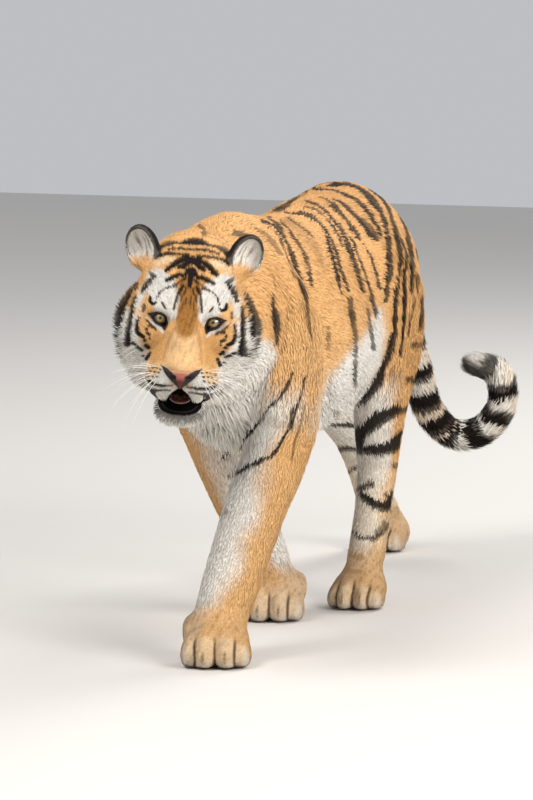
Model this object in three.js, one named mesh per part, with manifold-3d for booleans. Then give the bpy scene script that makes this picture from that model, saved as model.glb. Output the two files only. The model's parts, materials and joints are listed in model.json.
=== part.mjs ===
// A walking Amur tiger at life size, as a still museum model, in millimetres.
// +Z is up, the animal walks towards -Y and its own left side is +X.
// The origin is on the floor, under the middle of the model's box.
// The coat is part of the outline: every surface is where the tips of the short fur lie,
// and the cheek ruff is built as overlapping tapered locks.

import * as THREE from "three";
import { LoftGeometry } from "three/addons/geometries/LoftGeometry.js";
import { mergeVertices } from "three/addons/utils/BufferGeometryUtils.js";
import Module from "manifold-3d";

const wasm = await Module();
wasm.setup();

// ---- driving dimensions -------------------------------------------------------------------

const GAP = 0.3; // clearance between touching nodes
const WITHERS = 897; // height of the back over the shoulders
const CROUP = 893; // height of the back over the hips
const CHEST_DEPTH = 500; // withers to breastbone, coat included
const CHEST_WIDTH = 330;
const BELLY_WIDTH = 356;
const TRUNK_LENGTH = 1290; // breast to buttock
const BREAST_Y = -205; // front of the breast, measured from under the withers

const EYE_SPACING = 110;
const EYE_RADIUS = 19;
const EYES_AT = [105, -600, 741]; // midpoint between the eyes
const HEAD_YAW = 14; // degrees, turned to the animal's left
const HEAD_PITCH = -17; // degrees, muzzle lowered
const HEAD_ROLL = 5.3; // degrees, left eye lower

const FRONT_PAW_WIDTH = 146;
const HIND_PAW_WIDTH = 124;
const LEFT_FRONT_FOOT = [72, -298];
const RIGHT_FRONT_FOOT = [-2, 330];
const LEFT_HIND_FOOT = [130, 545];
const RIGHT_HIND_FOOT = [-58, 1385];

const TAIL_THICKNESS = 76;

const COLOURS = { orange: 0xd08a3e, pale: 0xe6dccb, dark: 0x1d1814, nose: 0xb4705f, eye: 0xa79a4a };

// ---- helpers ------------------------------------------------------------------------------

const vector = (x, y, z) => new THREE.Vector3(x, y, z);
const X = vector(1, 0, 0);
const Z = vector(0, 0, 1);
const radians = THREE.MathUtils.degToRad;

// A closed geometry as a solid that can be joined and cut.
function solid(geometry) {
  const bare = new THREE.BufferGeometry();
  bare.setAttribute("position", geometry.getAttribute("position"));
  bare.setIndex(geometry.getIndex());
  const merged = mergeVertices(bare, 1e-3);
  return new wasm.Manifold(
    new wasm.Mesh({
      numProp: 3,
      vertProperties: merged.getAttribute("position").array,
      triVerts: new Uint32Array(merged.getIndex().array),
    }),
  );
}

const join = (pieces) => wasm.Manifold.union(pieces);

// The largest closed body of a solid: cuts may leave scraps that are dropped here.
function largest(body) {
  return body.decompose().sort((a, b) => b.volume() - a.volume())[0];
}

// Rings skinned along a smooth line through the stations. Each station has at: [x, y, z],
// wide (along side) and deep (across it); pear narrows the ring towards its positive deep side.
// domes are the lengths by which the two ends are rounded off.
function loft(stations, { side = X, around = 16, rings = 16, domes = [0, 0], grow = 0 }) {
  const line = new THREE.CatmullRomCurve3(
    stations.map((s) => vector(...s.at)), false, "centripetal");
  const sizes = new THREE.CatmullRomCurve3(
    stations.map((s) => vector(s.wide / 2, s.deep / 2, s.pear ?? 0)), false, "catmullrom", 0.4);
  const ring = (t, shift, scale) => {
    const ahead = line.getTangent(t);
    const centre = line.getPoint(t).addScaledVector(ahead, shift);
    const across = side.clone().addScaledVector(ahead, -side.dot(ahead)).normalize();
    const deep = vector(0, 0, 0).crossVectors(ahead, across);
    const size = sizes.getPoint(t);
    return Array.from({ length: around }, (_, i) => {
      const angle = (i / around) * 2 * Math.PI;
      const narrow = 1 - size.z * Math.sin(angle);
      return centre.clone()
        .addScaledVector(across, (size.x + grow) * scale * narrow * Math.cos(angle))
        .addScaledVector(deep, (size.y + grow) * scale * Math.sin(angle));
    });
  };
  const sections = [];
  const bends = [75, 50, 25].map(radians);
  const [low, high] = domes.map((length) => length && length + 2 * grow);
  if (low) bends.forEach((b) => sections.push(ring(0, -low * Math.sin(b), Math.cos(b))));
  for (let i = 0; i <= rings; i++) sections.push(ring(i / rings, 0, 1));
  if (high) bends.reverse().forEach((b) => sections.push(ring(1, high * Math.sin(b), Math.cos(b))));
  return new LoftGeometry(sections, { capStart: true, capEnd: true });
}

// A thin disc that parts a body at a place, square to a direction.
function partingDisc(at, direction, radius) {
  const disc = new THREE.CylinderGeometry(radius, radius, GAP, 12);
  const turn = new THREE.Quaternion();
  disc.applyQuaternion(turn.setFromUnitVectors(vector(0, 1, 0), direction.clone().normalize()));
  return solid(disc.translate(at.x, at.y, at.z));
}

function box(low, high) {
  const size = high.map((v, i) => v - low[i]);
  const middle = high.map((v, i) => (v + low[i]) / 2);
  return new THREE.BoxGeometry(...size).translate(...middle);
}

const FLOOR = solid(box([-900, -1500, -400], [900, 2500, 0]));

// ---- smooth forms -------------------------------------------------------------------------

// Distance to an ellipsoid, close enough near its surface.
function ellipsoidField(p, centre, radii) {
  const q = p.map((v, i) => v - centre[i]);
  const near = Math.hypot(...q.map((v, i) => v / radii[i]));
  const slope = Math.hypot(...q.map((v, i) => v / radii[i] ** 2));
  return slope < 1e-9 ? -Math.min(...radii) : (near * (near - 1)) / slope;
}

function blend(a, b, width) {
  const h = Math.max(width - Math.abs(a - b), 0) / width;
  return Math.min(a, b) - (h * h * width) / 4;
}

const mirror = (centre) => [-centre[0], centre[1], centre[2]];

// A field blended from lumps and hollows; those with twin: true are there on both sides.
function fieldOf(lumps, hollows, width, hollowWidth) {
  const both = (list) => list.flatMap((l) => (l.twin ? [l, { ...l, at: mirror(l.at) }] : [l]));
  const solids = both(lumps);
  const holes = both(hollows);
  return (p) => {
    let d = Infinity;
    for (const l of solids) {
      const e = ellipsoidField(p, l.at, l.radii);
      d = d === Infinity ? e : blend(d, e, width);
    }
    for (const h of holes) d = -blend(-d, ellipsoidField(p, h.at, h.radii), hollowWidth);
    return d;
  };
}

// A sphere drawn in from outside onto a field's surface, seen from a core inside it.
// Its poles lie along Y, so the rings run round the muzzle.
function wrapped(field, core, { around, rings, reach = 320, grow = 0, crowd = 1 }) {
  const skin = new THREE.SphereGeometry(1, around, rings);
  const position = skin.getAttribute("position");
  const ray = vector(0, 0, 0);
  for (let i = 0; i < position.count; i++) {
    ray.fromBufferAttribute(position, i).normalize();
    const turn = Math.acos(THREE.MathUtils.clamp(ray.y, -1, 1)) / Math.PI;
    const wanted = Math.PI * turn ** crowd;
    const flat = Math.hypot(ray.x, ray.z) || 1;
    ray.set((ray.x / flat) * Math.sin(wanted), Math.cos(wanted), (ray.z / flat) * Math.sin(wanted));
    let far = reach;
    for (let step = 0; step < 60 && far > 1; step++) {
      const d = field([core[0] + ray.x * far, core[1] + ray.y * far, core[2] + ray.z * far]) - grow;
      if (d < 0.02) break;
      far -= d * 0.85;
    }
    position.setXYZ(i, core[0] + ray.x * far, core[1] + ray.y * far, core[2] + ray.z * far);
  }
  return skin;
}

// ---- trunk and neck -----------------------------------------------------------------------

const RUMP_Y = BREAST_Y + TRUNK_LENGTH;
const along = (share) => BREAST_Y + TRUNK_LENGTH * share;

// Height of the back and of the underline, and the width, at shares of the trunk's length.
// sway is how far the spine is bent towards the animal's left there.
const TRUNK = [
  { share: 0.995, top: CROUP - 130, bottom: 590, wide: 170 },
  { share: 0.94, top: CROUP - 62, bottom: 545, wide: 262 },
  { share: 0.86, top: CROUP - 16, bottom: 512, wide: 300 },
  { share: 0.77, top: CROUP, bottom: 486, wide: 312 },
  { share: 0.66, top: CROUP - 8, bottom: 416, wide: 334 },
  { share: 0.54, top: CROUP - 20, bottom: 384, wide: BELLY_WIDTH, sway: 4 },
  { share: 0.42, top: CROUP - 27, bottom: 378, wide: BELLY_WIDTH - 6, sway: 10 },
  { share: 0.31, top: WITHERS - 27, bottom: 384, wide: CHEST_WIDTH + 4, sway: 16 },
  { share: 0.19, top: WITHERS - 8, bottom: WITHERS - CHEST_DEPTH, wide: CHEST_WIDTH - 34, sway: 20 },
  { share: 0.1, top: WITHERS - 8, bottom: 424, wide: CHEST_WIDTH - 74, sway: 22 },
  { share: 0.03, top: WITHERS - 74, bottom: 484, wide: CHEST_WIDTH - 120, sway: 26 },
];

const trunkStations = TRUNK.map(({ share, top, bottom, wide, sway = 0 }) => ({
  at: [sway, along(share), (top + bottom) / 2], wide, deep: top - bottom, pear: 0.12,
}));

const neckStations = [
  { at: [18, 120, 690], wide: 230, deep: 280 },
  { at: [20, -20, 700], wide: 276, deep: 400, pear: 0.04 },
  { at: [30, -150, 704], wide: 286, deep: 384 },
  { at: [48, -270, 712], wide: 280, deep: 350 },
  { at: [66, -380, 722], wide: 262, deep: 306 },
  { at: [76, -440, 728], wide: 234, deep: 264 },
];

const trunkBody = (grow) =>
  join([
    solid(loft(trunkStations, { around: 24, rings: 24, domes: [50, 60], grow })),
    solid(loft(neckStations, { around: 22, rings: 9, domes: [0, 70], grow })),
  ]);

// ---- legs ---------------------------------------------------------------------------------

// A foot: the middle of the paw, four toes fanned out in front and, on a front foot, the bump
// of the dewclaw on its inner side. It is cut flat where it stands.
function paw([x, y], heading, width, length, inner = 0) {
  const lump = (at, radii, around, rings) =>
    solid(new THREE.SphereGeometry(1, around, rings).scale(...radii).translate(...at));
  const toe = (side, ahead, high, [wide, long, tall]) =>
    lump([side * width, -ahead * length, high * width], [wide * width, long * length, tall * width], 8, 5);
  const toes = [-1, 1].flatMap((s) => [
    toe(s * 0.155, 0.35, 0.185, [0.166, 0.26, 0.25]),
    toe(s * 0.355, 0.24, 0.17, [0.145, 0.25, 0.22]),
  ]);
  const middle = lump([0, length * 0.04, width * 0.28], [width * 0.45, length * 0.42, width * 0.38], 12, 7);
  const dew = inner ? [lump([inner * width * 0.36, length * 0.14, width * 0.42], [17, 26, 28], 6, 5)] : [];
  const place = new THREE.Matrix4().makeRotationZ(radians(heading)).setPosition(x, y, 0);
  return join([...toes, ...dew, middle]).transform(place.elements).subtract(FLOOR);
}

// One leg: its line of stations from the trunk down, its paw, and the stations it is parted at.
function leg({ stations, foot, heading, width, length, inner, cuts, names, side = X }) {
  const shaft = solid(loft(stations, { side, around: 14, rings: 16, domes: [40, 12] }));
  let body = join([shaft.subtract(FLOOR), paw(foot, heading, width, length, inner)]).subtract(trunkBody(GAP));
  const line = new THREE.CatmullRomCurve3(stations.map((s) => vector(...s.at)), false, "centripetal");
  for (const { station, radius } of cuts) {
    const t = station / (stations.length - 1);
    body = body.subtract(partingDisc(line.getPoint(t), line.getTangent(t), radius));
  }
  const pieces = body.decompose().sort((a, b) => b.volume() - a.volume()).slice(0, names.length);
  const height = (piece) => piece.boundingBox().max[2] + piece.boundingBox().min[2];
  pieces.sort((a, b) => height(b) - height(a));
  return names.map((name, i) => ({ name, body: pieces[i] }));
}

const [lfx, lfy] = LEFT_FRONT_FOOT;
const [rfx, rfy] = RIGHT_FRONT_FOOT;
const [lhx, lhy] = LEFT_HIND_FOOT;
const [rhx, rhy] = RIGHT_HIND_FOOT;

const leftFront = {
  foot: LEFT_FRONT_FOOT, heading: 14, width: FRONT_PAW_WIDTH, length: 168, inner: -1,
  names: ["front_left_upper_arm", "front_left_forearm", "front_left_paw"],
  cuts: [{ station: 4, radius: 120 }, { station: 6, radius: 90 }],
  stations: [
    { at: [30, 76, 826], wide: 60, deep: 110 },
    { at: [76, 40, 768], wide: 104, deep: 210 },
    { at: [128, -18, 680], wide: 138, deep: 296 },
    { at: [142, -42, 570], wide: 142, deep: 276 },
    { at: [134, -36, 450], wide: 136, deep: 200 },
    { at: [100, -122, 300], wide: 130, deep: 142 },
    { at: [lfx + 6, lfy + 78, 156], wide: 124, deep: 120 },
    { at: [lfx - 4, lfy + 40, 88], wide: 116, deep: 118 },
    { at: [lfx - 4, lfy + 14, 44], wide: 112, deep: 112 },
  ],
};

const rightFront = {
  foot: RIGHT_FRONT_FOOT, heading: 12, width: FRONT_PAW_WIDTH, length: 168, inner: 1,
  names: ["front_right_upper_arm", "front_right_forearm", "front_right_paw"],
  cuts: [{ station: 4, radius: 120 }, { station: 6, radius: 90 }],
  stations: [
    { at: [-16, 40, 826], wide: 60, deep: 110 },
    { at: [-46, 20, 772], wide: 104, deep: 210 },
    { at: [-82, 6, 680], wide: 132, deep: 290 },
    { at: [-80, 34, 570], wide: 134, deep: 270 },
    { at: [-61, 88, 448], wide: 124, deep: 190 },
    { at: [-44, 208, 290], wide: 116, deep: 138 },
    { at: [rfx - 12, rfy - 12, 128], wide: 106, deep: 112 },
    { at: [rfx - 6, rfy + 6, 74], wide: 110, deep: 118 },
    { at: [rfx - 4, rfy + 8, 42], wide: 112, deep: 118 },
  ],
};

const leftHind = {
  foot: LEFT_HIND_FOOT, heading: 4, width: HIND_PAW_WIDTH, length: 165,
  names: ["hind_left_thigh", "hind_left_shank", "hind_left_foot", "hind_left_paw"],
  cuts: [{ station: 3, radius: 170 }, { station: 5, radius: 100 }, { station: 7, radius: 80 }],
  stations: [
    { at: [38, 915, 800], wide: 70, deep: 160 },
    { at: [98, 862, 690], wide: 136, deep: 330 },
    { at: [122, 790, 580], wide: 142, deep: 318 },
    { at: [130, 716, 470], wide: 124, deep: 232 },
    { at: [127, 700, 372], wide: 108, deep: 154 },
    { at: [121, 708, 278], wide: 90, deep: 104 },
    { at: [121, 672, 190], wide: 82, deep: 88 },
    { at: [126, lhy + 62, 100], wide: 84, deep: 88 },
    { at: [lhx - 2, lhy + 34, 60], wide: 90, deep: 96 },
    { at: [lhx - 2, lhy + 14, 38], wide: 94, deep: 92 },
  ],
};

const rightHind = {
  foot: RIGHT_HIND_FOOT, heading: -4, width: HIND_PAW_WIDTH, length: 150,
  names: ["hind_right_thigh", "hind_right_shank", "hind_right_foot", "hind_right_paw"],
  cuts: [{ station: 3, radius: 170 }, { station: 5, radius: 100 }, { station: 7, radius: 80 }],
  stations: [
    { at: [-38, 915, 800], wide: 70, deep: 160 },
    { at: [-98, 892, 690], wide: 136, deep: 330 },
    { at: [-122, 920, 580], wide: 140, deep: 300 },
    { at: [-122, 968, 480], wide: 124, deep: 214 },
    { at: [-104, 1080, 388], wide: 104, deep: 146 },
    { at: [-84, 1210, 290], wide: 90, deep: 106 },
    { at: [-72, 1290, 190], wide: 84, deep: 90 },
    { at: [-62, rhy - 34, 98], wide: 90, deep: 90 },
    { at: [rhx, rhy + 4, 54], wide: 92, deep: 92 },
    { at: [rhx, rhy + 6, 36], wide: 94, deep: 88 },
  ],
};

// ---- tail ---------------------------------------------------------------------------------

const TAIL = [
  { at: [0, 1010, 772], wide: 70, deep: 78 },
  { at: [4, 1090, 724], wide: 84, deep: 92 },
  { at: [22, 1190, 610], wide: TAIL_THICKNESS, deep: TAIL_THICKNESS + 2 },
  { at: [38, 1300, 440], wide: TAIL_THICKNESS, deep: TAIL_THICKNESS },
  { at: [48, 1385, 318], wide: TAIL_THICKNESS, deep: TAIL_THICKNESS },
  { at: [92, 1430, 262], wide: TAIL_THICKNESS, deep: TAIL_THICKNESS },
  { at: [156, 1440, 272], wide: TAIL_THICKNESS, deep: TAIL_THICKNESS },
  { at: [204, 1436, 334], wide: TAIL_THICKNESS - 2, deep: TAIL_THICKNESS - 2 },
  { at: [196, 1430, 404], wide: TAIL_THICKNESS - 4, deep: TAIL_THICKNESS - 4 },
  { at: [142, 1428, 424], wide: TAIL_THICKNESS - 14, deep: TAIL_THICKNESS - 14 },
];

function tail() {
  const skin = solid(loft(TAIL, { side: vector(0.35, 0.93, 0.1), around: 10, rings: 26, domes: [0, 26] }));
  let body = skin.subtract(trunkBody(GAP));
  const line = new THREE.CatmullRomCurve3(TAIL.map((s) => vector(...s.at)), false, "centripetal");
  for (const station of [2.6, 4.6, 6.6]) {
    const t = station / (TAIL.length - 1);
    body = body.subtract(partingDisc(line.getPoint(t), line.getTangent(t), 60));
  }
  const pieces = body.decompose().sort((a, b) => b.volume() - a.volume()).slice(0, 4);
  const near = (piece, t) => {
    const { min, max } = piece.boundingBox();
    return line.getPoint(t).distanceTo(vector(...min.map((v, i) => (v + max[i]) / 2)));
  };
  return [0.18, 0.4, 0.62, 0.88].map((t, i) => ({
    name: `tail_${i + 1}`,
    body: pieces.reduce((best, piece) => (near(piece, t) < near(best, t) ? piece : best)),
  }));
}

// ---- head ---------------------------------------------------------------------------------

// In the head's own frame the origin is midway between the eyes, +Y runs out along the muzzle,
// +Z is up and +X is the animal's right. headPlace turns it to face -Y.
const HEAD_LUMPS = [
  { at: [0, -98, 18], radii: [102, 112, 100] }, // braincase
  { at: [0, -38, 22], radii: [62, 58, 46] }, // forehead
  { at: [0, 6, 0], radii: [32, 46, 30] }, // between the eyes
  { at: [50, -6, 20], radii: [30, 24, 19], twin: true }, // brow
  { at: [78, -50, -44], radii: [56, 72, 68], twin: true }, // cheek
  { at: [66, 0, -42], radii: [32, 42, 26], twin: true }, // cheekbone under the eye
  { at: [0, 38, -24], radii: [37, 62, 34] }, // upper bridge of the nose
  { at: [0, 82, -58], radii: [36, 52, 28] }, // lower bridge
  { at: [0, 46, -76], radii: [56, 66, 38] }, // middle of the muzzle
  { at: [34, 84, -87], radii: [37, 42, 33], twin: true }, // whisker pad
  { at: [48, 30, -96], radii: [23, 48, 30], twin: true }, // lip along the side
  { at: [45, 14, -130], radii: [24, 36, 36], twin: true }, // corner of the mouth
  { at: [64, -58, -116], radii: [52, 68, 62], twin: true }, // lower cheek
  { at: [0, -30, -146], radii: [58, 56, 42] }, // under the jaw
  { at: [0, -84, -104], radii: [86, 84, 86] }, // throat
];
const HEAD_HOLLOWS = [
  { at: [EYE_SPACING / 2, 29, -1], radii: [22, 21, 13], twin: true }, // eye socket
  { at: [0, 62, -144], radii: [36, 52, 29] }, // roof of the mouth
];
const JAW_LUMPS = [
  { at: [0, 64, -182], radii: [35, 27, 24] }, // chin
  { at: [0, 26, -173], radii: [45, 46, 30] }, // body of the jaw
  { at: [0, -18, -158], radii: [56, 46, 39] }, // back of the jaw
];
const HEAD_CORE = [0, 2, -46];
const JAW_CORE = [0, 20, -173];

const headPlace = new THREE.Matrix4()
  .makeTranslation(...EYES_AT)
  .multiply(new THREE.Matrix4().makeRotationZ(radians(HEAD_YAW)))
  .multiply(new THREE.Matrix4().makeRotationX(radians(-HEAD_PITCH)))
  .multiply(new THREE.Matrix4().makeRotationY(radians(HEAD_ROLL)))
  .multiply(new THREE.Matrix4().makeRotationZ(Math.PI));

const trunkFromHead = headPlace.clone().invert();

const headField = fieldOf(HEAD_LUMPS, HEAD_HOLLOWS, 26, 14);
const jawField = fieldOf(JAW_LUMPS, [], 22, 1);

const sphereAt = (at, radii, around = 14, rings = 10) =>
  new THREE.SphereGeometry(1, around, rings).scale(...radii).translate(...at);

const eyeAt = (sign) => [(sign * EYE_SPACING) / 2, 0, 0];

function eyelid(sign, upper) {
  const [x, y, z] = eyeAt(sign);
  const lift = upper ? 1 : -1;
  const stations = [-1, -0.6, 0, 0.6, 1].map((s) => {
    const drop = -4 * s; // the inner corner sits lower than the outer one
    const open = upper ? 15 : 13;
    return {
      at: [x - sign * s * 22, y + 17 - 7 * s * s, z + drop + lift * open * (1 - s * s) + 1],
      wide: 9 - 3 * s * s, deep: 12 - 5 * s * s,
    };
  });
  return solid(loft(stations, { side: Z, around: 5, rings: 6 }));
}

function earBody(sign, grow = 0) {
  const outer = new THREE.SphereGeometry(1, 14, 9).scale(37 + grow, 26 + grow, 49 + grow);
  const cup = new THREE.SphereGeometry(1, 11, 7).scale(29, 26, 40).translate(0, 15, 4);
  const place = new THREE.Matrix4()
    .makeTranslation(sign * 103, -122, 92)
    .multiply(new THREE.Matrix4().makeRotationZ(radians(-sign * 24)))
    .multiply(new THREE.Matrix4().makeRotationY(radians(sign * 17)));
  const body = grow ? solid(outer) : solid(outer).subtract(solid(cup));
  return body.transform(place.elements);
}

// A flat, tapered lock of the ruff, rooted at from and bending out to tip.
function lock(from, bend, tip, wide, thick) {
  const flat = bend.clone().sub(from).cross(tip.clone().sub(from)).normalize();
  const stations = [from, bend, tip].map((p, i) => ({
    at: p.toArray(), wide: wide * [0.9, 1, 0.08][i], deep: thick * [1, 0.8, 0.2][i],
  }));
  return solid(loft(stations, { side: flat, around: 5, rings: 2 }));
}

// Locks of the cheek ruff in rows from the front of the cheek back to the neck.
function ruff(sign) {
  const locks = [];
  const rows = [
    { back: -44, reach: 60, count: 6, from: 22, to: -64 },
    { back: -66, reach: 62, count: 6, from: 38, to: -56 },
    { back: -92, reach: 66, count: 6, from: 30, to: -72 },
  ];
  for (const { back, reach, count, from, to } of rows) {
    for (let i = 0; i < count; i++) {
      const turn = radians(THREE.MathUtils.lerp(from, to, i / (count - 1)));
      const out = vector(sign * Math.cos(turn), 0, Math.sin(turn));
      const centre = vector(0, back, -52);
      const root = surfaceFrom(centre, out, -16);
      const bend = surfaceFrom(centre, out, 6).add(vector(0, -reach * 0.56, -5));
      const tip = surfaceFrom(centre, out, 12).add(vector(0, -reach, -14));
      locks.push(lock(root, bend, tip, 50, 13));
    }
  }
  return locks;
}

// The point on the head straight out from a centre, moved out by some millimetres.
function surfaceFrom(centre, direction, beyond) {
  let far = 260;
  for (let step = 0; step < 60; step++) {
    const p = centre.clone().addScaledVector(direction, far);
    const d = headField(p.toArray());
    if (d < 0.02) break;
    far -= d * 0.85;
  }
  return centre.clone().addScaledVector(direction, far + beyond);
}

function headParts() {
  const skull = solid(wrapped(headField, HEAD_CORE, { around: 30, rings: 27, crowd: 1.15 }));
  const skullGrown = solid(wrapped(headField, HEAD_CORE, { around: 30, rings: 27, crowd: 1.15, grow: GAP }));
  const lids = [1, -1].flatMap((s) => [eyelid(s, true), eyelid(s, false)]);
  const eyes = [1, -1].map((s) => solid(sphereAt(eyeAt(s), [EYE_RADIUS, EYE_RADIUS, EYE_RADIUS], 14, 9)));
  const eyeRooms = [1, -1].map((s) => {
    const r = EYE_RADIUS + GAP;
    return solid(sphereAt(eyeAt(s), [r, r, r], 14, 9));
  });
  const nose = noseBody(0);
  const ears = [earBody(1), earBody(-1)];
  const jawWhole = (grow) => solid(wrapped(jawField, JAW_CORE, { around: 18, rings: 14, grow }));
  const trunk = trunkBody(GAP).transform(trunkFromHead.elements);
  const neighbours = [jawWhole(GAP), earBody(1, GAP), earBody(-1, GAP), trunk];
  const locks = join([1, -1].flatMap(ruff)).subtract(join(neighbours));
  let head = join([skull, ...lids, locks]);
  for (const room of [...eyeRooms, noseBody(GAP)]) head = head.subtract(room);
  const jaw = jawWhole(0).subtract(skullGrown);
  const made = [
    ["head", largest(head)],
    ["lower_jaw", largest(jaw)],
    ["nose_pad", nose],
    ["eye_right", eyes[0]],
    ["eye_left", eyes[1]],
    ["ear_right", largest(ears[0].subtract(skullGrown))],
    ["ear_left", largest(ears[1].subtract(skullGrown))],
  ];
  return { made, skullGrown, jawGrown: jawWhole(GAP) };
}

// The bare nose: a broad pad with a rounded top and two comma nostrils.
function noseBody(grow) {
  const pad = sphereAt([0, 118, -60], [33 + grow, 17 + grow, 15 + grow], 12, 7);
  const tip = sphereAt([0, 122, -72], [15 + grow, 13 + grow, 19 + grow], 8, 6);
  const body = join([solid(pad), solid(tip)]);
  if (grow) return body;
  const nostrils = [1, -1].map((s) => solid(sphereAt([s * 19, 134, -66], [9, 9, 5], 8, 6)));
  return nostrils.reduce((b, n) => b.subtract(n), body);
}

// ---- the whole animal ---------------------------------------------------------------------

const { made: headMade, skullGrown, jawGrown } = headParts();
const headSolids = headMade.map(([name, body]) => ({ name, body: body.transform(headPlace.elements) }));

function trunkParts() {
  const front = join([skullGrown, jawGrown]).transform(headPlace.elements);
  let body = trunkBody(0).subtract(front);
  const cuts = [
    { at: vector(8, -120, 690), direction: vector(-0.1, 1, -0.25) },
    { at: vector(0, 330, 640), direction: vector(0, 1, 0) },
    { at: vector(0, 700, 660), direction: vector(0, 1, 0) },
  ];
  for (const { at, direction } of cuts) body = body.subtract(partingDisc(at, direction, 420));
  const pieces = body.decompose().sort((a, b) => b.volume() - a.volume()).slice(0, 4);
  pieces.sort((a, b) => a.boundingBox().min[1] - b.boundingBox().min[1]);
  return ["neck", "chest", "belly", "rump"].map((name, i) => ({ name, body: pieces[i] }));
}

const nodes = [
  ...headSolids,
  ...trunkParts(),
  ...[leftFront, rightFront, leftHind, rightHind].flatMap(leg),
  ...tail(),
];

function meshOf({ name, body }) {
  const { numProp, vertProperties, triVerts } = body.getMesh();
  const positions = new Float32Array((vertProperties.length / numProp) * 3);
  for (let i = 0; i < positions.length / 3; i++) {
    positions.set(vertProperties.subarray(i * numProp, i * numProp + 3), i * 3);
  }
  const geometry = new THREE.BufferGeometry();
  geometry.setAttribute("position", new THREE.BufferAttribute(positions, 3));
  geometry.setIndex(new THREE.BufferAttribute(triVerts, 1));
  const colour = name.startsWith("eye") ? COLOURS.eye : name === "nose_pad" ? COLOURS.nose : COLOURS.orange;
  const mesh = new THREE.Mesh(geometry, new THREE.MeshStandardMaterial({
    color: colour, roughness: name.startsWith("eye") ? 0.1 : 0.85, metalness: 0,
  }));
  mesh.name = name;
  return mesh;
}

const tiger = new THREE.Group();
nodes.forEach((node) => tiger.add(meshOf(node)));
const room = new THREE.Box3().setFromObject(tiger);
const middle = room.getCenter(vector(0, 0, 0));
tiger.position.set(-middle.x, -middle.y, -room.min.z);

export default tiger;
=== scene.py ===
# %% [markdown]
# # A walking Amur tiger at life size
#
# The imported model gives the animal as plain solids. Here it gets its looks: one smooth skin, a
# coat of many thin tufts, the stripes, and the bare parts of the face: eyes, lids, nose, lips
# and whiskers. Lengths are in millimetres, in the part's own axes: the tiger walks towards -Y,
# +Z is up and its left side is +X. They turn into metres when a mesh is made.

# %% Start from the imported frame
import json
import math

import bpy
import numpy as np
import openvdb as vdb
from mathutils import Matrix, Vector

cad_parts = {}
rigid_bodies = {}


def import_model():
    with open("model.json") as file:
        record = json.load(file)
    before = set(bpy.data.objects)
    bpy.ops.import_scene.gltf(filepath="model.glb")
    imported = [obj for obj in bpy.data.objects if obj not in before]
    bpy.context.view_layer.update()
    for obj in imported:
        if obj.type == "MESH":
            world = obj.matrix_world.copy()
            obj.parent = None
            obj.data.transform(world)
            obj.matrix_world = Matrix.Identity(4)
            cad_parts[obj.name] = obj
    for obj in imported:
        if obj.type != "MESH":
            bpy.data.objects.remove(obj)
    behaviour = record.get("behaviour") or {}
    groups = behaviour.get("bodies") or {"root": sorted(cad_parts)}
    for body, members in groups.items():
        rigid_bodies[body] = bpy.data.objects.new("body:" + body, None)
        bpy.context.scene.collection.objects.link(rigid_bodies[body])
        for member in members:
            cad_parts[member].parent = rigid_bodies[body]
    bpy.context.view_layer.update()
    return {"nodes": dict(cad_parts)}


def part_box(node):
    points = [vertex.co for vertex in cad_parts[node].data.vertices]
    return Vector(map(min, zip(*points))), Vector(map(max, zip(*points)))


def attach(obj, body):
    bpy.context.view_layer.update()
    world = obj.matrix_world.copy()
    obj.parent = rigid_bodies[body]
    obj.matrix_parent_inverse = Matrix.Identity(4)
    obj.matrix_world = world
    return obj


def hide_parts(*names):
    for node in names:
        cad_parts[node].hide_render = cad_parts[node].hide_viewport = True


for leftover in list(bpy.data.objects):
    bpy.data.objects.remove(leftover)
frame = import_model()

# %% [markdown]
# The part puts the point between the eyes at a known place, so the two eye nodes tell where
# its origin lies in the frame. Every measure below is then the part's own. A coat needs chance,
# and one seeded source of it gives the same tiger each time.

# %% Where the part's origin lies
EYES_AT = np.array([105.0, -600.0, 741.0])
MM = 0.001
SEED = 41

eye_corners = [corner for side in ("left", "right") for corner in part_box("eye_" + side)]
ORIGIN = np.mean([list(c) for c in eye_corners], axis=0) - EYES_AT * MM
rng = np.random.default_rng(SEED)
print("origin of the part", ORIGIN.round(4))


def turned(axis, degrees):
    """Rotation matrix about x, y or z."""
    c, s = math.cos(math.radians(degrees)), math.sin(math.radians(degrees))
    i, j = [(1, 2), (2, 0), (0, 1)]["xyz".index(axis)]
    m = np.eye(3)
    m[i, i], m[i, j], m[j, i], m[j, j] = c, -s, s, c
    return m


# %% [markdown]
# ## Camera, floor and light
#
# The animal is seen from a little to its left and slightly above, from far away with a long
# lens, so near and far legs keep almost the same scale. One lamp would throw hard shadows
# between the stripes: three wide ones and a pale sky give the flat light of an overcast day.

# %% Camera
VIEW_AZIMUTH, VIEW_ELEVATION = math.radians(17.0), math.radians(7.0)
VIEW_DISTANCE = 15.0
VIEW_MIDDLE = np.array([-36.0, 400.0, 456.0])
LENS, SENSOR_WIDTH, CLIP_END = 317.0, 36.0, 60.0

LOOK_AT = ORIGIN + VIEW_MIDDLE * MM
TO_RIGHT = np.array([math.cos(VIEW_AZIMUTH), math.sin(VIEW_AZIMUTH), 0.0])
TO_CAMERA = np.array([math.sin(VIEW_AZIMUTH) * math.cos(VIEW_ELEVATION),
                      -math.cos(VIEW_AZIMUTH) * math.cos(VIEW_ELEVATION), math.sin(VIEW_ELEVATION)])


def placed(name, data):
    """A new object in the scene."""
    made = bpy.data.objects.new(name, data)
    bpy.context.scene.collection.objects.link(made)
    return made


camera = placed("camera", bpy.data.cameras.new("camera"))
camera.data.lens = LENS
camera.data.sensor_width = SENSOR_WIDTH
camera.data.clip_end = CLIP_END
camera.location = LOOK_AT + TO_CAMERA * VIEW_DISTANCE


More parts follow.
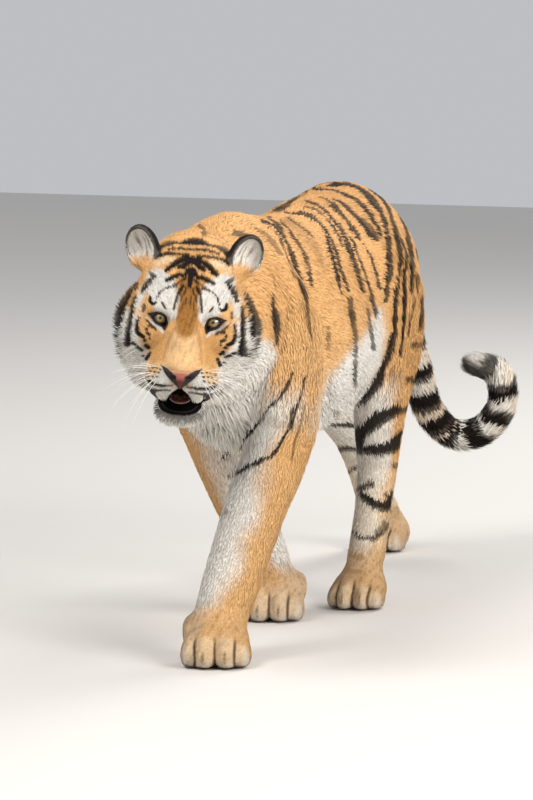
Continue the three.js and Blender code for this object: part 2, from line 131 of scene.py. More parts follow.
def aim(thing, point):
    """Turns a camera or lamp to look at a point."""
    thing.rotation_mode = "QUATERNION"
    way = Vector([float(v) for v in point]) - thing.location
    thing.rotation_quaternion = way.to_track_quat("-Z", "Y")


aim(camera, LOOK_AT)
bpy.context.scene.camera = camera
print("camera at", [round(v, 2) for v in camera.location])

# %% Floor
FLOOR_HALF, FLOOR_TONE = 9.0, (0.62, 0.6, 0.57)


def plain_material(name, colour, roughness):
    made = bpy.data.materials.new(name)
    made.use_nodes = True
    shader = made.node_tree.nodes["Principled BSDF"]
    shader.inputs["Base Color"].default_value = (*colour, 1.0)
    shader.inputs["Roughness"].default_value = roughness
    return made


floor_mesh = bpy.data.meshes.new("floor")
h = FLOOR_HALF
floor_mesh.from_pydata([(-h, -h, 0), (h, -h, 0), (h, h, 0), (-h, h, 0)], [], [(0, 1, 2, 3)])
floor = placed("floor", floor_mesh)
floor_mesh.materials.append(plain_material("pale_floor", FLOOR_TONE, 0.9))
print("floor", 2 * h, "m wide")

# %% Lamps and sky
LAMPS = [
    # name, place and width in metres, watts, tint
    ("key", (-1.6, -3.4, 4.6), 2.4, 190, (1.0, 0.97, 0.93)),
    ("fill", (4.2, -2.4, 2.6), 3.0, 225, (1.0, 0.97, 0.93)),
    ("back", (1.5, 4.5, 3.8), 2.6, 190, (1.0, 0.98, 0.95)),
]
LAMPS_AIM = (0.0, -0.2, 0.5)
SKY_TINT, SKY_STRENGTH = (0.93, 0.95, 1.0), 0.55

for name, place, width, watts, tint in LAMPS:
    data = bpy.data.lights.new(name, "AREA")
    data.shape = "DISK"
    data.size, data.energy, data.color = width, watts, tint
    lamp = placed(name, data)
    lamp.location = place
    aim(lamp, LAMPS_AIM)
sky = bpy.data.worlds.new("sky")
bpy.context.scene.world = sky
sky.use_nodes = True
backdrop = sky.node_tree.nodes["Background"]
backdrop.inputs["Color"].default_value = (*SKY_TINT, 1.0)
backdrop.inputs["Strength"].default_value = SKY_STRENGTH
bpy.context.scene.view_settings.view_transform = "Standard"
print("lamps", len(LAMPS), "and a sky of strength", SKY_STRENGTH)

# %% [markdown]
# ## The skin as a field of distances
#
# Flesh has no seams, but the solids were parted into nodes. A boolean union would keep hard
# creases. A distance field heals them: each node becomes a grid that holds, at each cell, how
# far the surface is. The least of all grids is their union, a slight swelling closes the thin
# parting cuts, and a blur rounds the facets.

# %% A box of distances
CELL = 5.0


def mesh_arrays(node):
    """A frame node's corners in part millimetres, and its triangles."""
    mesh = frame["nodes"][node].data
    mesh.calc_loop_triangles()
    corners = np.zeros(len(mesh.vertices) * 3, np.float32)
    mesh.vertices.foreach_get("co", corners)
    faces = np.zeros(len(mesh.loop_triangles) * 3, np.int32)
    mesh.loop_triangles.foreach_get("vertices", faces)
    corners = (corners.reshape(-1, 3) - ORIGIN) / MM
    return corners.astype(np.float32), faces.reshape(-1, 3).astype(np.uint32)


class Grid:
    """A box of distances: values, its lowest corner and the size of a cell."""

    def __init__(self, values, low, cell):
        self.values, self.low, self.cell = values, np.asarray(low, float), cell

    def axes(self):
        return [self.low[i] + self.cell * np.arange(n) for i, n in enumerate(self.values.shape)]

    def sample(self, points):
        """Distances at any points, blended from the eight cells around each."""
        q = (points - self.low) / self.cell
        top = np.array(self.values.shape) - 1.001
        q = np.clip(q, 0, top).astype(np.float32)
        base = q.astype(np.int32)
        f = q - base
        ny, nz = self.values.shape[1:]
        flat = self.values.ravel()
        start = (base[:, 0] * ny + base[:, 1]) * nz + base[:, 2]
        out = np.zeros(len(points), np.float32)
        for corner in range(8):
            dx, dy, dz = corner >> 2, corner >> 1 & 1, corner & 1
            share = (f[:, 0] if dx else 1 - f[:, 0]) * (f[:, 1] if dy else 1 - f[:, 1])
            share = share * (f[:, 2] if dz else 1 - f[:, 2])
            out += share * flat[start + (dx * ny + dy) * nz + dz]
        return out

    def slope(self, points):
        """Unit direction in which the distance grows, which is outwards."""
        step = self.cell * 0.8
        out = np.stack([
            self.sample(points + step * axis) - self.sample(points - step * axis)
            for axis in np.eye(3)], axis=-1)
        return out / np.maximum(np.linalg.norm(out, axis=1, keepdims=True), 1e-6)

    def surface(self, level=0.0):
        """Corners and quads of the surface at a level."""
        tree = vdb.FloatGrid(float(self.values.max()))
        tree.copyFromArray(np.ascontiguousarray(self.values, dtype=np.float32))
        points, _, quads = tree.convertToPolygons(isovalue=level, adaptivity=0.0)
        return points * self.cell + self.low, quads.astype(np.int64)


print("cells of", CELL, "mm")

# %% Grids from meshes, and blurred grids
BLUR_REACH = 2.5  # how many widths a blur takes in


def level_set(points, low, shape, cell, reach, **faces):
    """The distances round a closed mesh of triangles or quads, cells counted from low."""
    local = ((points - low) / cell).astype(np.float32)
    faces = {kind: corners.astype(np.uint32) for kind, corners in faces.items()}
    tree = vdb.FloatGrid.createLevelSetFromPolygons(
        local, transform=vdb.createLinearTransform(1.0), halfWidth=reach, **faces)
    values = np.zeros(shape, np.float32)
    tree.copyToArray(values)
    return values * cell


def blurred(values, sigma):
    """A soft version of a grid: a Gaussian along each axis in turn."""
    radius = int(math.ceil(sigma * BLUR_REACH))
    weights = np.exp(-0.5 * (np.arange(-radius, radius + 1) / sigma) ** 2)
    weights /= weights.sum()
    for axis in range(3):
        padding = [(radius, radius) if i == axis else (0, 0) for i in range(3)]
        wide = np.pad(values, padding, mode="edge")
        size = values.shape[axis]
        total = np.zeros_like(values)
        for k, w in enumerate(weights):
            cut = [slice(None)] * 3
            cut[axis] = slice(k, k + size)
            total += np.float32(w) * wide[tuple(cut)]
        values = total
    return values


print("a blur takes in", BLUR_REACH, "widths")

# %% [markdown]
# ## Rounded forms from blended lumps
#
# The head and the paws need finer forms. They could be sculpted by hand, but then no number
# would say what was done. Here they are blocked out as in clay: an ellipsoid for each muscle or
# bone, blended with its neighbours, and hollows pressed in for eyes, mouth and ears.

# %% How two forms blend
FAR = 60.0  # what an empty grid holds
MARGIN = 36.0  # how far round a lump its distances are worked out
SOFT = 26.0  # usual width of the fillet between two lumps


def blend(a, b, width):
    """Union of two fields with a fillet of about that width."""
    near = np.maximum(width - np.abs(a - b), 0) / width
    return np.minimum(a, b) - near * near * (width / 4)


def ellipsoid(x, y, z, centre, radii, spin=None):
    """Distance to an ellipsoid, close enough near its surface."""
    q = [x - centre[0], y - centre[1], z - centre[2]]
    if spin is not None:
        q = [q[0] * spin[0, i] + q[1] * spin[1, i] + q[2] * spin[2, i] for i in range(3)]
    near = np.sqrt(sum((v / r) ** 2 for v, r in zip(q, radii)))
    slope = np.sqrt(sum((v / r ** 2) ** 2 for v, r in zip(q, radii)))
    return near * (near - 1) / np.maximum(slope, 1e-6)


print("usual fillet", SOFT, "mm")

# %% Many lumps in one grid
def lump(centre, radii, **joins):
    """One lump, and how it joins: soft, twin, hollow, spin, shift."""
    return {"at": centre, "radii": radii, **joins}


def windowed(lines, centre, reach):
    """The part of a grid near a lump, and its coordinates there."""
    cut, near = [], []
    for i, line in enumerate(lines):
        first, last = np.searchsorted(line, [centre[i] - reach[i], centre[i] + reach[i]])
        cut.append(slice(first, max(last, first + 1)))
        shape = [1, 1, 1]
        shape[i] = -1
        near.append(line[cut[-1]].reshape(shape).astype(np.float32))
    return tuple(cut), near


def pressed_together(lumps, low, high, cell):
    """A grid of blended lumps, each joined to what came before."""
    shape = [int((b - a) / cell) for a, b in zip(low, high)]
    grid = Grid(np.full(shape, FAR, np.float32), low, cell)
    lines = grid.axes()
    for one in lumps:
        for side in ((1, -1) if one.get("twin") else (1,)):
            centre = np.array(one["at"], float) * [side, 1, 1]
            spin, reach = None, np.array(one["radii"], float)
            if "spin" in one:
                spin = np.eye(3)
                for axis, degrees in one["spin"]:
                    spin = spin @ turned(axis, degrees * (1 if axis == "x" else side))
                reach = np.full(3, reach.max())
            if "shift" in one:
                centre = centre + (spin if spin is not None else np.eye(3)) @ np.array(one["shift"])
            width = one.get("soft", SOFT)
            cut, (x, y, z) = windowed(lines, centre, reach + MARGIN)
            piece = ellipsoid(x, y, z, centre, one["radii"], spin).astype(np.float32)
            old = grid.values[cut]
            if one.get("hollow"):
                grid.values[cut] = -blend(-old, piece, width)
            else:
                grid.values[cut] = blend(old, piece, width)
    return grid


print("one lump", lump((0, 0, 0), (10, 10, 10)))

# %% [markdown]
# ## The head
#
# Its own axes start midway between the eyes: +Y runs out along the muzzle, +Z is up and +X is
# the animal's right. The head is turned a little to its left, lowered and slightly rolled.

# %% Where the head points
HEAD_TURN = turned("z", 14.0) @ turned("x", 17.0) @ turned("y", 5.3) @ turned("z", 180.0)


def head_to_part(points):
    return np.asarray(points, float) @ HEAD_TURN.T + EYES_AT


def part_to_head(points):
    return (np.asarray(points, float) - EYES_AT) @ HEAD_TURN


print("the muzzle points along", HEAD_TURN[:, 1].round(2))

# %% Lumps of the head
HEAD_LUMPS = [
    lump((0, -98, 17), (102, 112, 99)),  # braincase
    lump((0, -38, 22), (62, 58, 46)),  # forehead
    lump((0, 6, 0), (32, 46, 30)),  # between the eyes
    lump((50, -6, 20), (30, 24, 19), twin=True),  # brow
    lump((78, -50, -44), (56, 72, 68), twin=True),  # cheek
    lump((66, 0, -42), (32, 42, 26), twin=True),  # cheekbone
    lump((0, 38, -24), (37, 62, 34)),  # upper bridge of the nose
    lump((0, 82, -58), (36, 52, 28)),  # lower bridge
    lump((0, 46, -76), (56, 66, 38)),  # middle of the muzzle
    lump((31, 86, -90), (33, 40, 32), twin=True, soft=16),  # whisker pad
    lump((48, 30, -96), (23, 48, 30), twin=True),  # lip along the side
    lump((45, 14, -130), (24, 36, 36), twin=True),  # corner of the mouth
    lump((64, -58, -116), (52, 68, 62), twin=True),  # lower cheek
    lump((0, -30, -146), (58, 56, 42)),  # under the jaw
    lump((0, -84, -104), (86, 84, 86)),  # throat
    lump((90, -86, -58), (50, 50, 78), twin=True, soft=34),  # ruff
    lump((0, -180, 42), (84, 90, 64), soft=44),  # nape
    lump((33, 70, -116), (20, 32, 30), twin=True, soft=14),  # upper lip
    lump((0, 120, -108), (2.5, 22, 26), hollow=True, soft=8),  # split of the lip
    lump((18, 134, -70), (10, 11, 7), twin=True, hollow=True, soft=3),  # nostril
    lump((54, 26, -1), (22, 20, 14), twin=True, hollow=True, soft=10),  # socket
]
JAW_LUMPS = [
    lump((0, 58, -184), (43, 31, 21), soft=22),  # chin
    lump((0, 26, -178), (49, 46, 25), soft=22),  # body of the jaw
    lump((0, -18, -160), (56, 46, 37), soft=22),  # back of the jaw
]
MOUTH_LUMPS = [
    lump((0, 62, -138), (24, 50, 24), soft=8),  # under the palate
    lump((0, 60, -157), (50, 52, 12), soft=8),  # between the lips
]
EAR_AT, EAR_RADII, EAR_SPIN = (103, -122, 92), (37, 26, 49), [("z", -24.0), ("y", 17.0)]
CUP_SHIFT, CUP_RADII = (0, 15, 4), (29, 25, 40)
EAR_LUMPS = [
    lump(EAR_AT, EAR_RADII, twin=True, spin=EAR_SPIN, soft=16),
    lump(EAR_AT, CUP_RADII, shift=CUP_SHIFT, twin=True, spin=EAR_SPIN, hollow=True, soft=3),
]
print("lumps of the head", len(HEAD_LUMPS + JAW_LUMPS + MOUTH_LUMPS + EAR_LUMPS))

# %% Grid of the head
HEAD_LOW, HEAD_HIGH, HEAD_CELL = (-190, -330, -250), (190, 160, 170), 3.0
JAW_BLEND, MOUTH_EDGE = 6.0, 4.0

head_grid = pressed_together(HEAD_LUMPS + EAR_LUMPS, HEAD_LOW, HEAD_HIGH, HEAD_CELL)
jaw_grid = pressed_together(JAW_LUMPS, HEAD_LOW, HEAD_HIGH, HEAD_CELL)
head_grid.values = blend(head_grid.values, jaw_grid.values, JAW_BLEND)
mouth_grid = pressed_together(MOUTH_LUMPS, HEAD_LOW, HEAD_HIGH, HEAD_CELL)
head_grid.values = -blend(-head_grid.values, mouth_grid.values, MOUTH_EDGE)
print("head grid", head_grid.values.shape)

# %% [markdown]
# ## The body
#
# The trunk, neck, legs and tail come from the solids, whose outlines are already right. Each
# group of nodes keeps a grid of its own too, because the coat lies differently on a leg, on the
# trunk and on the tail.

# %% Groups of nodes
GROUPS = {
    "trunk": ("belly", "chest", "rump"),
    "neck": ("neck",),
    "left_front": ("front_left_",),
    "right_front": ("front_right_",),
    "left_hind": ("hind_left_",),
    "right_hind": ("hind_right_",),
    "tail": ("tail",),
}
for group, starts in GROUPS.items():
    print(group, [n for n in frame["nodes"] if n.startswith(starts)])

# %% Body grid
SWELL = 1.5  # closes the parting cuts, in millimetres
ROUNDING = 1.6  # width of the blur, in cells
LEVEL_REACH, GROUP_REACH = 9.0, 8.0  # how far the distances are true, in cells
ROOM = 45  # free space round the body, in millimetres

spans = [mesh_arrays(n)[0] for n in frame["nodes"]]
BODY_LOW = np.floor(np.min([s.min(0) for s in spans], axis=0) - ROOM)
body_high = np.max([s.max(0) for s in spans], axis=0) + ROOM
body_shape = tuple(int(v) for v in np.ceil((body_high - BODY_LOW) / CELL))
group_grids = {}
for group, starts in GROUPS.items():
    values = np.full(body_shape, GROUP_REACH * CELL, np.float32)
    for node in frame["nodes"]:
        if node.startswith(starts):
            corners, faces = mesh_arrays(node)
            near = level_set(corners, BODY_LOW, body_shape, CELL, GROUP_REACH, triangles=faces)
            np.minimum(values, near, out=values)
    group_grids[group] = Grid(values, BODY_LOW, CELL)

union = np.minimum.reduce([g.values for g in group_grids.values()])
points, quads = Grid(union, BODY_LOW, CELL).surface(SWELL)
healed = level_set(points, BODY_LOW, body_shape, CELL, LEVEL_REACH, quads=quads) + SWELL
body_grid = Grid(blurred(healed, ROUNDING), BODY_LOW, CELL)
print("body grid", body_shape, "union corners", len(points))

# %% [markdown]
# The head and the paws get finer grids. The body's field runs on into them and is eased inwards
# where the finer lumps take over, so neck and wrists flow into head and paws without a step.

# %% Helpers for places in a grid
def block_points(grid):
    return np.stack(np.meshgrid(*grid.axes(), indexing="ij"), axis=-1).reshape(-1, 3)


def ease(values, start, end):
    """0 before start and 1 after end, with soft ends."""
    t = np.clip((values - start) / (end - start), 0, 1)
    return t * t * (3 - 2 * t)


def in_head_grid(local, margin=8):
    """Whether points lie well inside the head's grid."""
    low, high = np.array(HEAD_LOW) + 5, np.array(HEAD_HIGH) - margin
    return np.all((local > low) & (local < high), axis=1)


print("halfway, ease gives", ease(0.5, 0, 1))

# %% Head joined to the neck
NECK_BLEND = 34.0
NECK_SINK, NECK_FADE = 30, (-120, -60)  # how deep the neck ends, and where along the head
HEAD_REACH = 330  # half the width of the block of the body's grid that holds the head

skull_grid = Grid(head_grid.values.copy(), HEAD_LOW, HEAD_CELL)
local = block_points(head_grid)
neck_here = body_grid.sample(head_to_part(local)) + NECK_SINK * ease(local[:, 1], *NECK_FADE)
head_grid.values = blend(head_grid.values, neck_here.reshape(head_grid.values.shape), NECK_BLEND)

near_head = tuple(slice(*np.searchsorted(line, [EYES_AT[i] - HEAD_REACH, EYES_AT[i] + HEAD_REACH]))
                  for i, line in enumerate(body_grid.axes()))
corner_low = [line[c][0] for line, c in zip(body_grid.axes(), near_head)]
small = Grid(body_grid.values[near_head], corner_low, CELL)
local = part_to_head(block_points(small))
inside = in_head_grid(local, 10)
values = small.values.reshape(-1).copy()
values[inside] = np.minimum(values[inside], head_grid.sample(local[inside]))
body_grid.values[near_head] = values.reshape(small.values.shape)
print("body cells that the head reaches", np.count_nonzero(inside))

# %% [markdown]
# ## Places on the face
#
# Lids, nose and mouth have no fur and sharp edges. They are drawn as outlines on a face
# stencil: half a face seen along the muzzle, its width from the middle line and its height from
# the eyes. A straight line inwards from a spot of the stencil finds the place on the head.

# %% The face stencil
FACE_OUT = np.array([0.0, 0.914, 0.407])
FACE_UP = np.array([0.0, -0.407, 0.914])
FARTHEST = 190.0  # where the line inwards starts
BARE_SINK = 1.0  # how far under the head's own surface it stops
REACH_STEPS, STEP_SHARE = 90, 0.75


def face_spots(local):
    """Width from the middle line and height on the face stencil."""
    return np.stack([np.abs(local[:, 0]), local @ FACE_UP], axis=1)


def face_point(spots, reach):
    """The point over a spot of the face stencil, that far out."""
    spots = np.asarray(spots, float)
    reach = np.broadcast_to(reach, len(spots))
    return spots[:, :1] * [1, 0, 0] + spots[:, 1:] * FACE_UP + reach[:, None] * FACE_OUT


def face_reach(spots):
    """How far out the skin of the head lies over each spot of the stencil."""
    reach = np.full(len(spots), FARTHEST)
    for _ in range(REACH_STEPS):
        gap = head_grid.sample(face_point(spots, reach)) + BARE_SINK
        reach = reach - np.clip(gap, -2, 14) * STEP_SHARE
    return reach


print("tip of the muzzle", face_reach(np.array([[0.0, -100.0]])).round(), "mm out")

# %% Curves and outlines
def smooth_path(points, count, closed=False):
    """Points on a smooth curve through the given ones."""
    p = np.asarray(points, float)
    n = len(p) if closed else len(p) - 1
    t = np.linspace(0, n, count, endpoint=not closed)
    i = np.minimum(t.astype(int), n - 1)
    f = (t - i)[:, None]
    a, b, c, d = (p[(i + k) % n] if closed else p[np.clip(i + k, 0, n)] for k in (-1, 0, 1, 2))
    curve = 2 * b + (c - a) * f + (2 * a - 5 * b + 4 * c - d) * f ** 2
    return 0.5 * (curve + (3 * b - a - 3 * c + d) * f ** 3)


def outline_distance(spots, outline):
    """Distance from each spot to a closed outline, less than 0 inside it."""
    outline = np.asarray(outline, float)
    least = np.full(len(spots), np.inf)
    inside = np.zeros(len(spots), bool)
    for a, b in zip(outline, np.roll(outline, -1, axis=0)):
        span = b - a
        t = np.clip((spots - a) @ span / (span @ span), 0, 1)
        least = np.minimum(least, np.linalg.norm(spots - a - t[:, None] * span, axis=1))
        crosses = (a[1] > spots[:, 1]) != (b[1] > spots[:, 1])
        inside ^= crosses & (spots[:, 0] < a[0] + (spots[:, 1] - a[1]) * span[0] / (span[1] or 1e-9))
    return np.where(inside, -least, least)


print("top of a curve", smooth_path([(0, 0), (1, 1), (2, 0)], 5)[2])

# %% Outlines of lids, nose and mouth
LID_EDGE = [(68, -3), (64, 1.5), (59, 4), (54, 5), (49, 3.5), (45, 0), (42, -5.5), (40.5, -12),
            (40.5, -18), (45, -17), (50, -15.5), (55, -13.5), (60, -10.5), (65, -6.5)]
LID_OUTLINE = [(79, 3.5), (73, 5), (66, 7.5), (57, 9), (49, 7.5), (42, 2.5), (38, -6), (36, -15),
               (37.5, -25), (42, -29), (48, -21.5), (57, -17.5), (65, -11.5), (72, -3)]
NOSE_HALF = [(0, -105.5), (10, -105.5), (19, -105), (29, -101.5), (36, -97.5), (38.5, -100),
             (36, -106), (30, -114), (24.5, -120), (18.5, -125.5), (12, -131), (6, -136), (2, -140),
             (0, -141)]
NOSE_OUTLINE = NOSE_HALF + [(-s, v) for s, v in NOSE_HALF[-2:0:-1]]
LID_FRONT, NOSE_FRONT = -30, 80  # the outlines count only in front of these
NOT_BARE = -50.0
LIP_DEPTH, CHIN_DEPTH = 3.0, 4.5  # bare rim round the mouth, and what it gains below


def bareness(local):
    """How far each point of the head lies inside a bare part: lids, nose or mouth."""
    spots = face_spots(local)
    eye = np.where(local[:, 1] > LID_FRONT, -outline_distance(spots, LID_OUTLINE), NOT_BARE)
    nose = np.where(local[:, 1] > NOSE_FRONT, -outline_distance(spots, NOSE_OUTLINE), NOT_BARE)
    inside = in_head_grid(local)
    mouth = np.full(len(local), NOT_BARE)
    below = ease(local[inside, 2], -146, -156)
    mouth[inside] = LIP_DEPTH + CHIN_DEPTH * below - mouth_grid.sample(local[inside])
    return eye, nose, mouth


print("half face outlines", len(LID_EDGE), len(LID_OUTLINE), len(NOSE_HALF))

# %% [markdown]
# ## Paws
#
# A tiger's paw is a broad pad with four toes in front, and a forepaw has a fifth toe higher up
# on its inner side. All four are the same small set of lumps, with each paw's width and length,
# and they are cut flat where they stand on the floor.

# %% Paws
PAWS = {
    "left_front": {"at": (72, -298), "heading": 14, "wide": 146, "long": 168, "inner": -1},
    "right_front": {"at": (-2, 330), "heading": 12, "wide": 146, "long": 168, "inner": 1},
    "left_hind": {"at": (130, 545), "heading": 4, "wide": 124, "long": 165, "inner": 0},
    "right_hind": {"at": (-58, 1385), "heading": -4, "wide": 124, "long": 150, "inner": 0},
}
PAW_CELL = 3.6
WRIST_LOW, WRIST_HIGH, WRIST_CUT = 30.0, 104.0, 136.0
PAW_ASIDE, PAW_AHEAD, PAW_BEHIND = 0.7, 0.7, 0.96


def paw_frame(paw):
    """Turn and place of a paw: its own -Y runs forward to the toes."""
    return turned("z", paw["heading"]), np.array([*paw["at"], 0.0])


def paw_grid(paw):
    w, l = paw["wide"], paw["long"]
    toe = {"twin": True, "soft": 7}
    lumps = [
        lump((0, 0.05 * l, 0.29 * w), (0.44 * w, 0.42 * l, 0.37 * w)),
        lump((0.155 * w, -0.34 * l, 0.19 * w), (0.158 * w, 0.255 * l, 0.225 * w), **toe),
        lump((0.355 * w, -0.23 * l, 0.175 * w), (0.138 * w, 0.24 * l, 0.2 * w), **toe),
        # knuckles
        lump((0.155 * w, -0.16 * l, 0.36 * w), (0.13 * w, 0.2 * l, 0.17 * w), twin=True, soft=12),
        lump((0.33 * w, -0.1 * l, 0.3 * w), (0.12 * w, 0.2 * l, 0.16 * w), twin=True, soft=12),
    ]
    if paw["inner"]:
        lumps.append(lump((paw["inner"] * 0.36 * w, 0.14 * l, 0.42 * w), (17, 26, 28), soft=14))
    grid = pressed_together(lumps, (-0.75 * w, -0.75 * l, -9), (0.75 * w, 1.02 * l, 160), PAW_CELL)
    turn, place = paw_frame(paw)
    local = block_points(grid)
    leg = body_grid.sample(local @ turn.T + place) + 20 * ease(local[:, 2], WRIST_HIGH, WRIST_LOW)
    values = blend(grid.values, leg.reshape(grid.values.shape), 34.0)
    grid.values = np.maximum(values, (4.0 - local[:, 2]).reshape(values.shape))
    return grid


paw_grids = {name: paw_grid(paw) for name, paw in PAWS.items()}
print("paws", {name: g.values.shape for name, g in paw_grids.items()})

# %% [markdown]
# ## One skin
#
# The surfaces of the grids become one mesh. The shells overlap where head and paws take over,
# which the coat hides. The skin lies a little inside the solids, by the depth of the coat at each
# place, so that the fur ends where they do.

# %% Where head and paws take over
HEAD_BACK, HEAD_UNDER, OVERLAP = -205.0, -225.0, 8.0


def in_head_block(local, ease_in=0.0):
    return (local[:, 1] > HEAD_BACK + ease_in) & (local[:, 2] > HEAD_UNDER + ease_in)


def in_a_paw(points, height):
    """Near a paw and below a height."""
    near = np.zeros(len(points), bool)
    for paw in PAWS.values():
        turn, place = paw_frame(paw)
        x, y, _ = ((points - place) @ turn / [paw["wide"], paw["long"], 1]).T
        near |= (np.abs(x) < PAW_ASIDE) & (y > -PAW_AHEAD) & (y < PAW_BEHIND)
    return near & (points[:, 2] < height)


print("overlap", OVERLAP, "mm")

# %% Faces worth keeping
def kept_faces(points, faces, keep):
    """Only the faces whose corners are all kept, with the unused corners left out."""
    faces = faces[keep[faces].all(axis=1)]
    used = np.unique(faces)
    renumber = np.zeros(len(points), np.int64)
    renumber[used] = np.arange(len(used))
    return points[used], renumber[faces]


def outer_shell(points, quads):
    """Leaves out closed pockets inside the body: keeps the largest connected surface."""
    label = np.arange(len(points))
    while True:
        least = label[quads].min(axis=1)
        new = label.copy()
        for k in range(4):
            np.minimum.at(new, quads[:, k], least)
        new = new[new]
        if np.array_equal(new, label):
            break
        label = new
    biggest = np.bincount(label).argmax()
    return quads[label[quads[:, 0]] == biggest]


print("surfaces to join", 2 + len(PAWS))

# %% Skin mesh
shells = []
points, quads = body_grid.surface()
whole = len(quads)
quads = outer_shell(points, quads)
print("quads of inner pockets left out", whole - len(quads))
keep = ~(in_head_block(part_to_head(points), OVERLAP) | in_a_paw(points, WRIST_CUT))
points, quads = kept_faces(points, quads, keep)
shells.append((points, quads, body_grid.slope(points)))

local, quads = head_grid.surface()
local, quads = kept_faces(local, quads, in_head_block(local))
shells.append((head_to_part(local), quads, head_grid.slope(local) @ HEAD_TURN.T))

for name, grid in paw_grids.items():
    turn, place = paw_frame(PAWS[name])
    local, quads = grid.surface()
    local, quads = kept_faces(local, quads, local[:, 2] < WRIST_CUT + OVERLAP)
    shells.append((local @ turn.T + place, quads, grid.slope(local) @ turn.T))

counts = [0, *np.cumsum([len(s[0]) for s in shells])]
skin_points = np.concatenate([s[0] for s in shells])
skin_quads = np.concatenate([s[1] + c for s, c in zip(shells, counts)])
skin_normals = np.concatenate([s[2] for s in shells])
print("skin corners", len(skin_points), "quads", len(skin_quads))

# %% [markdown]
# ## Lines along the limbs
#
# Hair lies down the legs towards the toes and along the tail towards its tip, so each limb has
# a line down its middle. The line also tells how far down a stripe lies and on which side.

# %% Lines and the nearest place on them
LIMB_LINES = {
    "left_front": [(30, 76, 826), (76, 40, 768), (128, -18, 680), (142, -42, 570), (134, -36, 450),
        (100, -122, 300), (78, -220, 156), (68, -258, 88), (64, -300, 44), (48, -400, 24)],
    "right_front": [(-16, 40, 826), (-46, 20, 772), (-82, 6, 680), (-80, 34, 570), (-61, 88, 448),
        (-44, 208, 290), (-14, 318, 128), (-8, 330, 74), (-12, 310, 44), (-26, 230, 24)],
    "left_hind": [(38, 915, 800), (98, 862, 690), (122, 790, 580), (130, 716, 470), (127, 700, 372),
        (121, 708, 278), (121, 672, 190), (126, 607, 100), (128, 560, 44), (122, 460, 22)],
    "right_hind": [(-38, 915, 800), (-98, 892, 690), (-122, 920, 580), (-122, 968, 480),
        (-104, 1080, 388), (-84, 1210, 290), (-72, 1290, 190), (-62, 1351, 98),
        (-58, 1380, 44), (-64, 1300, 22)],
    "tail": [(0, 1010, 772), (4, 1090, 724), (22, 1190, 610), (38, 1300, 440), (48, 1385, 318),
             (92, 1430, 262), (156, 1440, 272), (204, 1436, 334), (196, 1430, 404), (142, 1428, 424)],
}


def on_line(points, line):
    """For each point: length along the line to the nearest place on it, way of the line, offset."""
    line = np.array(line, float)
    best = np.full(len(points), np.inf)
    along, way, offset = np.zeros(len(points)), np.zeros((len(points), 3)), np.zeros((len(points), 3))
    start = 0.0
    for a, b in zip(line[:-1], line[1:]):
        span = b - a
        length = np.linalg.norm(span)
        t = np.clip((points - a) @ span / length ** 2, 0, 1)
        away = points - (a + t[:, None] * span)
        distance = np.linalg.norm(away, axis=1)
        nearer = distance < best
        best[nearer] = distance[nearer]
        along[nearer] = start + t[nearer] * length
        way[nearer] = span / length
        offset[nearer] = away[nearer]
        start += length
    return along, way, offset


print("limb lines", {name: len(line) for name, line in LIMB_LINES.items()})

# %% Which part of the body a point belongs to
SHARE_WIDTH = 11.0
SHARE_CUT = 0.04  # smaller shares count as nothing
OFF_THE_HEAD = 60.0


def shares(points):
    """How much each part of the body counts at each point, adding up to 1."""
    local = part_to_head(points)
    skull = np.full(len(points), OFF_THE_HEAD)
    inside = in_head_grid(local)
    skull[inside] = skull_grid.sample(local[inside])
    distances = {"head": skull}
    for group, grid in group_grids.items():
        distances[group] = grid.sample(points)
    nearest = np.minimum.reduce(list(distances.values()))
    raw = {name: np.maximum(np.exp((nearest - d) / SHARE_WIDTH) - SHARE_CUT, 0)
           for name, d in distances.items()}
    total = sum(raw.values())
    return {name: value / total for name, value in raw.items()}


print("parts of the body", ["head", *GROUPS])

# %% [markdown]
# ## How the coat grows
#
# Blender's own hair could be combed by hand, but it leaves no mesh. Here a small table says how
# long the hair is at places on the head, from a few millimetres on the nose to four centimetres
# on the cheeks, blended by nearness between them. On the body a few rules are enough. Each tuft
# lies backwards, down the legs and away from the nose, and slow waves keep it natural.

# %% Hair of the head
HEAD_HAIR = [
    # place on the head, length, lift in degrees, spacing
    ((0, 118, -48), 3.5, 6, 1.8),
    ((0, 66, -10), 4.5, 7, 1.8),
    ((0, 10, 34), 5.5, 7, 1.8),
    ((52, 22, 22), 4.5, 8, 1.8),
    ((40, -30, 58), 7, 8, 1.9),
    ((0, -60, 92), 8, 8, 1.9),
    ((0, -130, 116), 12, 10, 2.2),
    ((60, -112, 96), 11, 10, 2.2),
    ((38, 100, -88), 4.5, 8, 1.8),
    ((60, 50, -100), 7, 9, 1.9),
    ((68, 30, -50), 5.5, 7, 1.8),
    ((92, -8, -36), 9, 10, 2.0),
    ((96, -60, 20), 14, 12, 2.2),
    ((132, -70, -48), 34, 27, 2.5),
    ((124, -84, 20), 24, 20, 2.4),
    ((116, -70, -112), 40, 30, 2.5),
    ((78, -16, -148), 32, 28, 2.5),
    ((46, 40, -140), 8, 10, 1.9),
    ((0, 84, -196), 12, 26, 2.0),
    ((26, 60, -202), 18, 28, 2.1),
    ((0, 10, -204), 28, 26, 2.4),
    ((0, -80, -194), 40, 20, 2.9),
    ((120, -140, -60), 40, 20, 2.8),
    ((0, -220, 90), 24, 12, 3.0),
]


def blended(points, places, values, power=4.0):
    """Values known at a few places, spread to all points by nearness."""
    total, weight = np.zeros((len(points), values.shape[1])), np.zeros(len(points))
    for place, value in zip(places, values):
        w = 1.0 / (np.sum((points - place) ** 2, axis=1) + 60.0) ** (power / 2)
        total += w[:, None] * value
        weight += w
    return total / weight[:, None]


